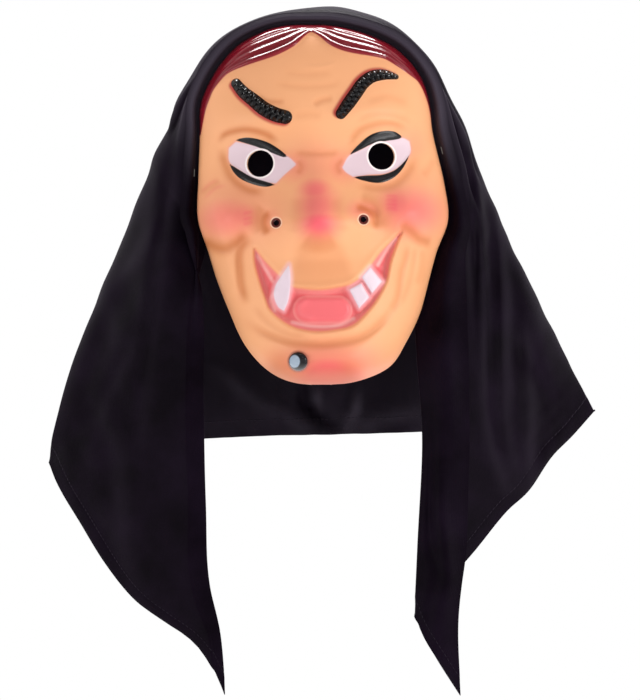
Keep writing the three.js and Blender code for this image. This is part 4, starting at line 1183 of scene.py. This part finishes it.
on_side = beyond(4.5, 1.5) * short_of(SIDE_SPAN + 0.6, 1.5)
on_back = beyond(SIDE_SPAN, 3)
plain = scarf.copy()
scarf[:, :, 1] -= on_side * fold_rise(CURTAIN_FOLDS, plain[:, :, 0], plain[:, :, 2])
scarf[:, :, 1] += on_back * BACK_FOLD_RISE * np.cos(2 * math.pi * BACK_FOLDS * row_share)
fine_folds = on_side * fold_rise(FINE_FOLDS, plain[:, :, 0], plain[:, :, 2])
scarf[:, :, 1] -= fine_folds
in_panel = beyond(8.4, 0.6)
panel_folds = in_panel * fold_rise(PANEL_FOLDS, plain[:, :, 0], plain[:, :, 2])
scarf[:, :, 1] -= panel_folds
in_lapel = ease((station["turned"][:, None] - 0.6) / 0.3) * short_of(2.2, 0.4)
scarf[:, :, 1] -= in_lapel * fold_rise(LAPEL_FOLDS, plain[:, :, 0], plain[:, :, 2])
print("folds:", len(CURTAIN_FOLDS) + len(FINE_FOLDS) + len(PANEL_FOLDS) + BACK_FOLDS)

# %% [markdown]
# Round the face the cloth lies in two or three soft rolls that follow the hem. They are ridges
# along the cloth's own directions: a start and end along the hem, a place across it, a width, and
# a rise straight out of the cloth. Crests of the rolls near the top and of the folds in the
# curtains get a paler painted highlight, the panel that shows above the rear hem is painted paler
# where it lies in shade, and creases stay deep black, so how much painted light each point gets
# is kept for the material. Real cloth is never quite even, so two slow waves that don't line up
# are added everywhere but at the rim.

# %% Rolls and ripples
ROLLS = {
    # along the hem from and to, across from and to (in spans), width in spans, rise in mm
    "right second roll": (0.48, 0.72, 5.1, 5.2, 0.17, 3.2),
    "right crease": (0.5, 0.74, 5.42, 5.5, 0.1, -2.4),
    "right third roll": (0.5, 0.7, 5.85, 5.85, 0.2, 2.8),
    "right back crease": (0.54, 0.7, 6.25, 6.2, 0.1, -2.0),
    "left second roll": (0.35, 0.5, 5.2, 5.1, 0.2, 2.0),
    "top crossing": (0.36, 0.5, 6.4, 5.4, 0.14, 2.6),
    "top crease": (0.36, 0.66, 5.9, 5.9, 0.12, -2.2),
    "crown": (0.38, 0.64, 6.7, 6.7, 0.9, 3.3),
}
RIPPLE = 0.55
ROLL_CREST = 1.1  # the span where the turned hem gets the most painted highlight
LIGHT_LOW = -125  # below this height in mm the rolls get no painted highlight
LIGHT_FADE = 60
ROLL_LIGHT = 0.5
FOLD_LIGHT = 0.45
PANEL_LIGHT = 0.28
PANEL_FOLD_LIGHT = 0.5

over = np.gradient(scarf, axis=1)
along = np.gradient(scarf, axis=0)
outward = np.cross(along, over)
outward /= np.linalg.norm(outward, axis=2, keepdims=True)
near_top = ease((hem_line[:, None, 2] - LIGHT_LOW) / LIGHT_FADE)
painted_light = near_top * station["turned"][:, None] * bell((column_share - ROLL_CREST) / 0.75)
painted_light += FOLD_LIGHT * np.clip(fine_folds / ROLL, -1, 1)
painted_light += in_panel * (PANEL_LIGHT + PANEL_FOLD_LIGHT * np.clip(panel_folds / ROLL, -0.3, 0.8))
lift = np.zeros_like(row_share)
for start, end, from_span, to_span, wide, rise in ROLLS.values():
    share = (row_share - start) / (end - start)
    ends = ease(share * 4) * ease((1 - share) * 4)
    off = column_share - mix(from_span, to_span, np.clip(share, 0, 1))
    lift += rise * ends * bell(off / wide)
    painted_light += math.copysign(ROLL_LIGHT, rise) * near_top * ends * bell(off / min(wide, 0.3))

hem_mm = row_share * knots[-1]
across_mm = np.cumsum(np.linalg.norm(np.diff(scarf, axis=1, prepend=scarf[:, :1]), axis=2), axis=1)
free_cloth = beyond(4.6, 1.2)
ripple = np.sin(hem_mm / 11 + 1.3 * np.sin(across_mm / 37)) * np.sin(across_mm / 29 + 0.6)
ripple += 0.6 * np.sin(hem_mm / 6.1 + across_mm / 23 + 2) * np.sin(across_mm / 17)
lift += RIPPLE * free_cloth * ripple
print("highest roll:", round(float(lift.max()), 1), "mm")

# %% [markdown]
# The side and rear edges are turned in and stitched about 12 mm in. The hem is a double layer, so
# it stands a little proud, with a shallow groove under the stitches. Where the cloth turns sharply
# to the back at a corner, nothing is lifted. The distance to the nearest of these edges is also
# kept for the material, which draws the stitches there.

# %% Hems
HEM_WIDTH = 12
HEM_PROUD = 0.35
STITCH_GROOVE = 0.35

row_steps = np.linalg.norm(np.diff(scarf, axis=0, prepend=scarf[:1]), axis=2)
along_mm = np.cumsum(row_steps, axis=0)
from_ends = np.minimum(along_mm, along_mm[-1:] - along_mm)
from_behind = across_mm[:, -1:] - across_mm
hem_off = np.minimum(from_ends, from_behind)
hem_run = np.where(from_ends < from_behind, across_mm, along_mm)
lift += HEM_PROUD * ease((HEM_WIDTH - hem_off) / 1.2)
lift -= STITCH_GROOVE * bell((hem_off - HEM_WIDTH) / 0.9)
at_corner = bell((column_share - SIDE_SPAN) / 0.5) * ease((np.abs(row_share - 0.5) - 0.3) / 0.1)
scarf += outward * (lift * ease(hem_off / 3) * (1 - at_corner))[:, :, None]

# %% [markdown]
# A hem never hangs dead straight. The lower hems of the curtains sway out and in, and the
# outline gives way a little at the corners and beside the crown. Each sway is a table along the
# hem's line, each pull a place, a shift and how far it reaches, all in the front view.

# %% Sway and pulls
SWAY_REACH = 75  # how far into the cloth a hem's sway is felt
LEFT_HEM = ((-195, -307), (-66, -459))
LEFT_SWAY = [
    # share of the way down the hem, how far it moves in mm
    (0.0, 0), (0.13, 4), (0.23, 6), (0.41, 9.7), (0.56, 9.2), (0.68, 2.7),
    (0.77, -3.2), (0.84, -4.7), (0.97, -1.3), (1.0, 0),
]
RIGHT_HEM = ((192, -273), (63, -409))
RIGHT_SWAY = [(0.0, 0), (0.13, -0.7), (0.24, -2.2), (0.39, 1.0), (0.5, -1.0), (0.7, 0.5), (1.0, 0)]
PULLS = [
    # x, z, shift in x, shift in z, reach
    (-193, -305, 2.0, 0.0, 8),
    (62, -14, -2.5, -5.0, 24),
    (84, -50, -4.0, -3.0, 22),
    (-84, -42, 3.0, -3.0, 24),
    (118, -128, -2.0, 0.0, 16),
    (94, -410, -3.5, 0.0, 28),
]


def sway(hem, table_of_sway, out, x, z):
    """Shifts points square to a hem's line, by how near they are and how far along it."""
    (x0, z0), (x1, z1) = hem
    length = math.hypot(x1 - x0, z1 - z0)
    off, share, _ = line_distance(np.array(hem, float), x, z)
    amount = curve_through(*np.array(table_of_sway, float).T)(share) * ease(1 - off / SWAY_REACH)
    return out * amount * (z1 - z0) / length, -out * amount * (x1 - x0) / length


outer_cloth = beyond(4.8, 1.2)
lapel = short_of(2.5, 1.0) * ease((row_share - 0.9) / 0.04)
x, z = scarf[:, :, 0].copy(), scarf[:, :, 2].copy()
left_shift = sway(LEFT_HEM, LEFT_SWAY, 1, x, z)
right_shift = sway(RIGHT_HEM, RIGHT_SWAY, -1, x, z)
left_half = ease((0.3 - row_share) / 0.1)
right_half = ease((row_share - 0.7) / 0.1)
scarf[:, :, 0] += left_half * left_shift[0] + right_half * right_shift[0]
scarf[:, :, 2] += left_half * left_shift[1] + right_half * right_shift[1]
for at_x, at_z, shift_x, shift_z, reach in PULLS:
    felt = bell(np.hypot(x - at_x, z - at_z) / reach) * np.maximum(outer_cloth, lapel)
    scarf[:, :, 0] += shift_x * felt
    scarf[:, :, 2] += shift_z * felt
print("hems sway by up to", max(value for _, value in LEFT_SWAY), "mm")

# %% [markdown]
# The same tool as for the face gives the cloth its thickness, half of it to each side. Every
# point keeps five measures for the material: how far off the nearest hem it is and how far
# along, how far it lies along the front hem and across the cloth, and how much painted light it
# gets.

# %% Cloth to mesh
headscarf, scarf_used = thick_sheet("black_headscarf", scarf, CLOTH / 2, CLOTH / 2)
keep_values(headscarf, scarf_used, {
    "hem_off": hem_off, "hem_run": hem_run, "warp": hem_mm, "weft": across_mm, "painted_light": painted_light,
})

# %% [markdown]
# Brushed polyester knit. The scarf is a cheap black knit with a short nap: black with a little
# violet, hardly any mirror reflection, and a soft sheen where it turns away from the light. The
# knit's ribs lie 0.5 mm apart, too fine for the picture, so they are drawn 1.1 mm apart.

# %% Brushed polyester knit
RIB_PITCH = 1.1
STITCH_PITCH = 3.2

knit, tree, shader = new_material("brushed_polyester_knit")
place_node = add(tree, "ShaderNodeTexCoord")
dust = add(tree, "ShaderNodeTexNoise", {"Vector": place_node.outputs["Object"], "Scale": 30, "Detail": 4})
worn = add(tree, "ShaderNodeMapRange", {0: dust.outputs[0], 1: 0.32, 2: 0.68, 3: 0, 4: 1})
dye = add(tree, "ShaderNodeMix", {
    0: worn.outputs[0], 6: pigment("#08030a"), 7: pigment("#140b18"),
}, data_type="RGBA")
# paler where painted light stands in for sheen on crests and for light in the shaded panel
painted_light_field = add(tree, "ShaderNodeAttribute", attribute_name="painted_light")
lit_dye = add(tree, "ShaderNodeMix", {
    0: painted_light_field.outputs["Fac"], 6: dye.outputs[2], 7: pigment("#453e49"),
}, data_type="RGBA")
warp = add(tree, "ShaderNodeAttribute", attribute_name="warp")
weft = add(tree, "ShaderNodeAttribute", attribute_name="weft")
waves = []
for field, pitch in ((warp, RIB_PITCH), (weft, RIB_PITCH * 1.5)):
    turn = add(tree, "ShaderNodeMath", {
        0: field.outputs["Fac"], 1: 2 * math.pi / pitch,
    }, operation="MULTIPLY")
    waves.append(add(tree, "ShaderNodeMath", {0: turn.outputs[0]}, operation="SINE"))
ribs = add(tree, "ShaderNodeMath", {0: waves[0].outputs[0], 1: waves[1].outputs[0]}, operation="ADD")
nap = add(tree, "ShaderNodeTexNoise", {
    "Vector": place_node.outputs["Object"], "Scale": 1 / (RIB_PITCH * MM), "Detail": 3,
})
rib_bump = add(tree, "ShaderNodeBump", {
    "Height": ribs.outputs[0], "Strength": 0.3, "Distance": 0.06 * MM,
})
nap_bump = add(tree, "ShaderNodeBump", {
    "Height": nap.outputs[0], "Strength": 0.5, "Distance": 0.25 * MM, "Normal": rib_bump.outputs[0],
})
hem_field = add(tree, "ShaderNodeAttribute", attribute_name="hem_off")
run_field = add(tree, "ShaderNodeAttribute", attribute_name="hem_run")
from_line = add(tree, "ShaderNodeMath", {0: hem_field.outputs["Fac"], 1: HEM_WIDTH}, operation="SUBTRACT")
off_line = add(tree, "ShaderNodeMath", {0: from_line.outputs[0]}, operation="ABSOLUTE")
on_line = add(tree, "ShaderNodeMapRange", {0: off_line.outputs[0], 1: 0.5, 2: 0.2, 3: 0, 4: 1})
beat = add(tree, "ShaderNodeMath", {
    0: run_field.outputs["Fac"], 1: 2 * math.pi / STITCH_PITCH,
}, operation="MULTIPLY")
dash = add(tree, "ShaderNodeMath", {0: beat.outputs[0]}, operation="SINE")
dashes = add(tree, "ShaderNodeMapRange", {0: dash.outputs[0], 1: -0.5, 2: 0.0, 3: 0, 4: 1})
thread = add(tree, "ShaderNodeMath", {0: on_line.outputs[0], 1: dashes.outputs[0]}, operation="MULTIPLY")
thread_bump = add(tree, "ShaderNodeBump", {
    "Height": thread.outputs[0], "Strength": 0.8, "Distance": 0.4 * MM, "Normal": nap_bump.outputs[0],
})
threaded = add(tree, "ShaderNodeMix", {
    0: thread.outputs[0], 6: lit_dye.outputs[2], 7: pigment("#2c262f"),
}, data_type="RGBA")
tree.links.new(threaded.outputs[2], shader.inputs["Base Color"])
tree.links.new(thread_bump.outputs[0], shader.inputs["Normal"])
shader.inputs["Roughness"].default_value = 0.5
shader.inputs["IOR"].default_value = 1.45
shader.inputs["Specular IOR Level"].default_value = 0.03
shader.inputs["Sheen Weight"].default_value = 0.05
shader.inputs["Sheen Roughness"].default_value = 0.3
shader.inputs["Sheen Tint"].default_value = pigment("#cdb9d8")

headscarf.data.materials.append(knit)
headscarf.data.materials.append(knit)
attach(headscarf, "root")
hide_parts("headscarf")
print("the cloth stands for the node headscarf")

# %% [markdown]
# Two bright wire staples hold cloth and plastic together at the temples. Their solids are right
# as they are and only take the finish of drawn steel wire: metal, with a roughness near 0.3.

# %% Drawn steel wire
MARKS_PER_METRE = 1500

wire, tree, shader = new_material("drawn_steel_wire")
place_node = add(tree, "ShaderNodeTexCoord")
draw_marks = add(tree, "ShaderNodeTexNoise", {
    "Vector": place_node.outputs["Object"], "Scale": MARKS_PER_METRE, "Detail": 1,
})
steel = add(tree, "ShaderNodeMix", {
    0: draw_marks.outputs[0], 6: pigment("#6f6b66"), 7: pigment("#8b8782"),
}, data_type="RGBA")
tree.links.new(steel.outputs[2], shader.inputs["Base Color"])
shader.inputs["Metallic"].default_value = 1
shader.inputs["Roughness"].default_value = 0.3
for name in ("staple_left", "staple_right"):
    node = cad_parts[name]
    if not node.material_slots:
        node.data.materials.append(wire)
    node.material_slots[0].material = wire
print("staples in", wire.name)

# %% [markdown]
# The studio is a white room. Its walls are seen white but give only part of the light. A floor of
# lit white acrylic lies well below the points, and it glows for the camera alone, so it throws no
# glow up at the chin. There is a soft light in front, one at each side that reaches the jaw, a
# narrow one overhead, and a wide one high behind the mask. That last one doesn't reach the face,
# but the glossy hair and the top of the cloth mirror it.

# %% Studio
FLOOR_DROP = 0.3
FLOOR_SIZE = 7
ROOM_LIGHT = 0.66  # what the walls give, of how bright they are seen
FLOOR_GLOW = 0.35

world = bpy.data.worlds.new("white_room")
world.use_nodes = True
room = world.node_tree.nodes["Background"]
seen = add(world.node_tree, "ShaderNodeLightPath")
room_light = add(world.node_tree, "ShaderNodeMapRange", {
    0: seen.outputs["Is Camera Ray"], 1: 0, 2: 1, 3: ROOM_LIGHT, 4: 1,
})
room.inputs["Color"].default_value = (1, 1, 1, 1)
world.node_tree.links.new(room_light.outputs[0], room.inputs["Strength"])
bpy.context.scene.world = world
bpy.context.scene.view_settings.view_transform = "Standard"

bpy.ops.mesh.primitive_plane_add(size=FLOOR_SIZE, location=(0, 0, cad_low[2] - FLOOR_DROP))
floor = bpy.context.object
floor.name = "pale_floor"
floor_finish, tree, shader = new_material("lit_white_acrylic")
shader.inputs["Base Color"].default_value = (0.9, 0.9, 0.9, 1)
shader.inputs["Roughness"].default_value = 0.9
shader.inputs["Emission Color"].default_value = (1, 1, 1, 1)
seen = add(tree, "ShaderNodeLightPath")
glow = add(tree, "ShaderNodeMapRange", {0: seen.outputs["Is Camera Ray"], 1: 0, 2: 1, 3: 0, 4: FLOOR_GLOW})
tree.links.new(glow.outputs[0], shader.inputs["Emission Strength"])
floor.data.materials.append(floor_finish)

LIGHTS = {
    # place, aim, width, height, watts
    "front_soft": ((0.35, -2.3, 0.6), (0, 0, -0.2), 0.8, 0.8, 4),
    "right_soft": ((1.7, -0.9, -0.3), (0, 0, -0.2), 0.9, 0.9, 19),
    "left_soft": ((-1.7, -0.9, -0.3), (0, 0, -0.2), 0.9, 0.9, 9),
    "overhead_strip": ((0.0, -0.55, 1.15), (0, -0.05, -0.05), 1.5, 0.04, 1.8),
    "rear_soft": ((0.0, 0.7, 1.1), (0, -0.08, -0.02), 1.5, 0.4, 40),
}
for name, (at, aim, width, height, watts) in LIGHTS.items():
    lamp = bpy.data.lights.new(name, "AREA")
    lamp.shape = "RECTANGLE"
    lamp.size = width
    lamp.size_y = height
    lamp.energy = watts
    holder = bpy.data.objects.new(name, lamp)
    holder.location = at
    direction = np.array(aim) - np.array(at)
    holder.rotation_euler = (
        math.atan2(math.hypot(direction[0], direction[1]), -direction[2]),
        0,
        math.atan2(direction[1], direction[0]) - math.pi / 2,
    )
    bpy.context.collection.objects.link(holder)
print("lights:", ", ".join(LIGHTS))
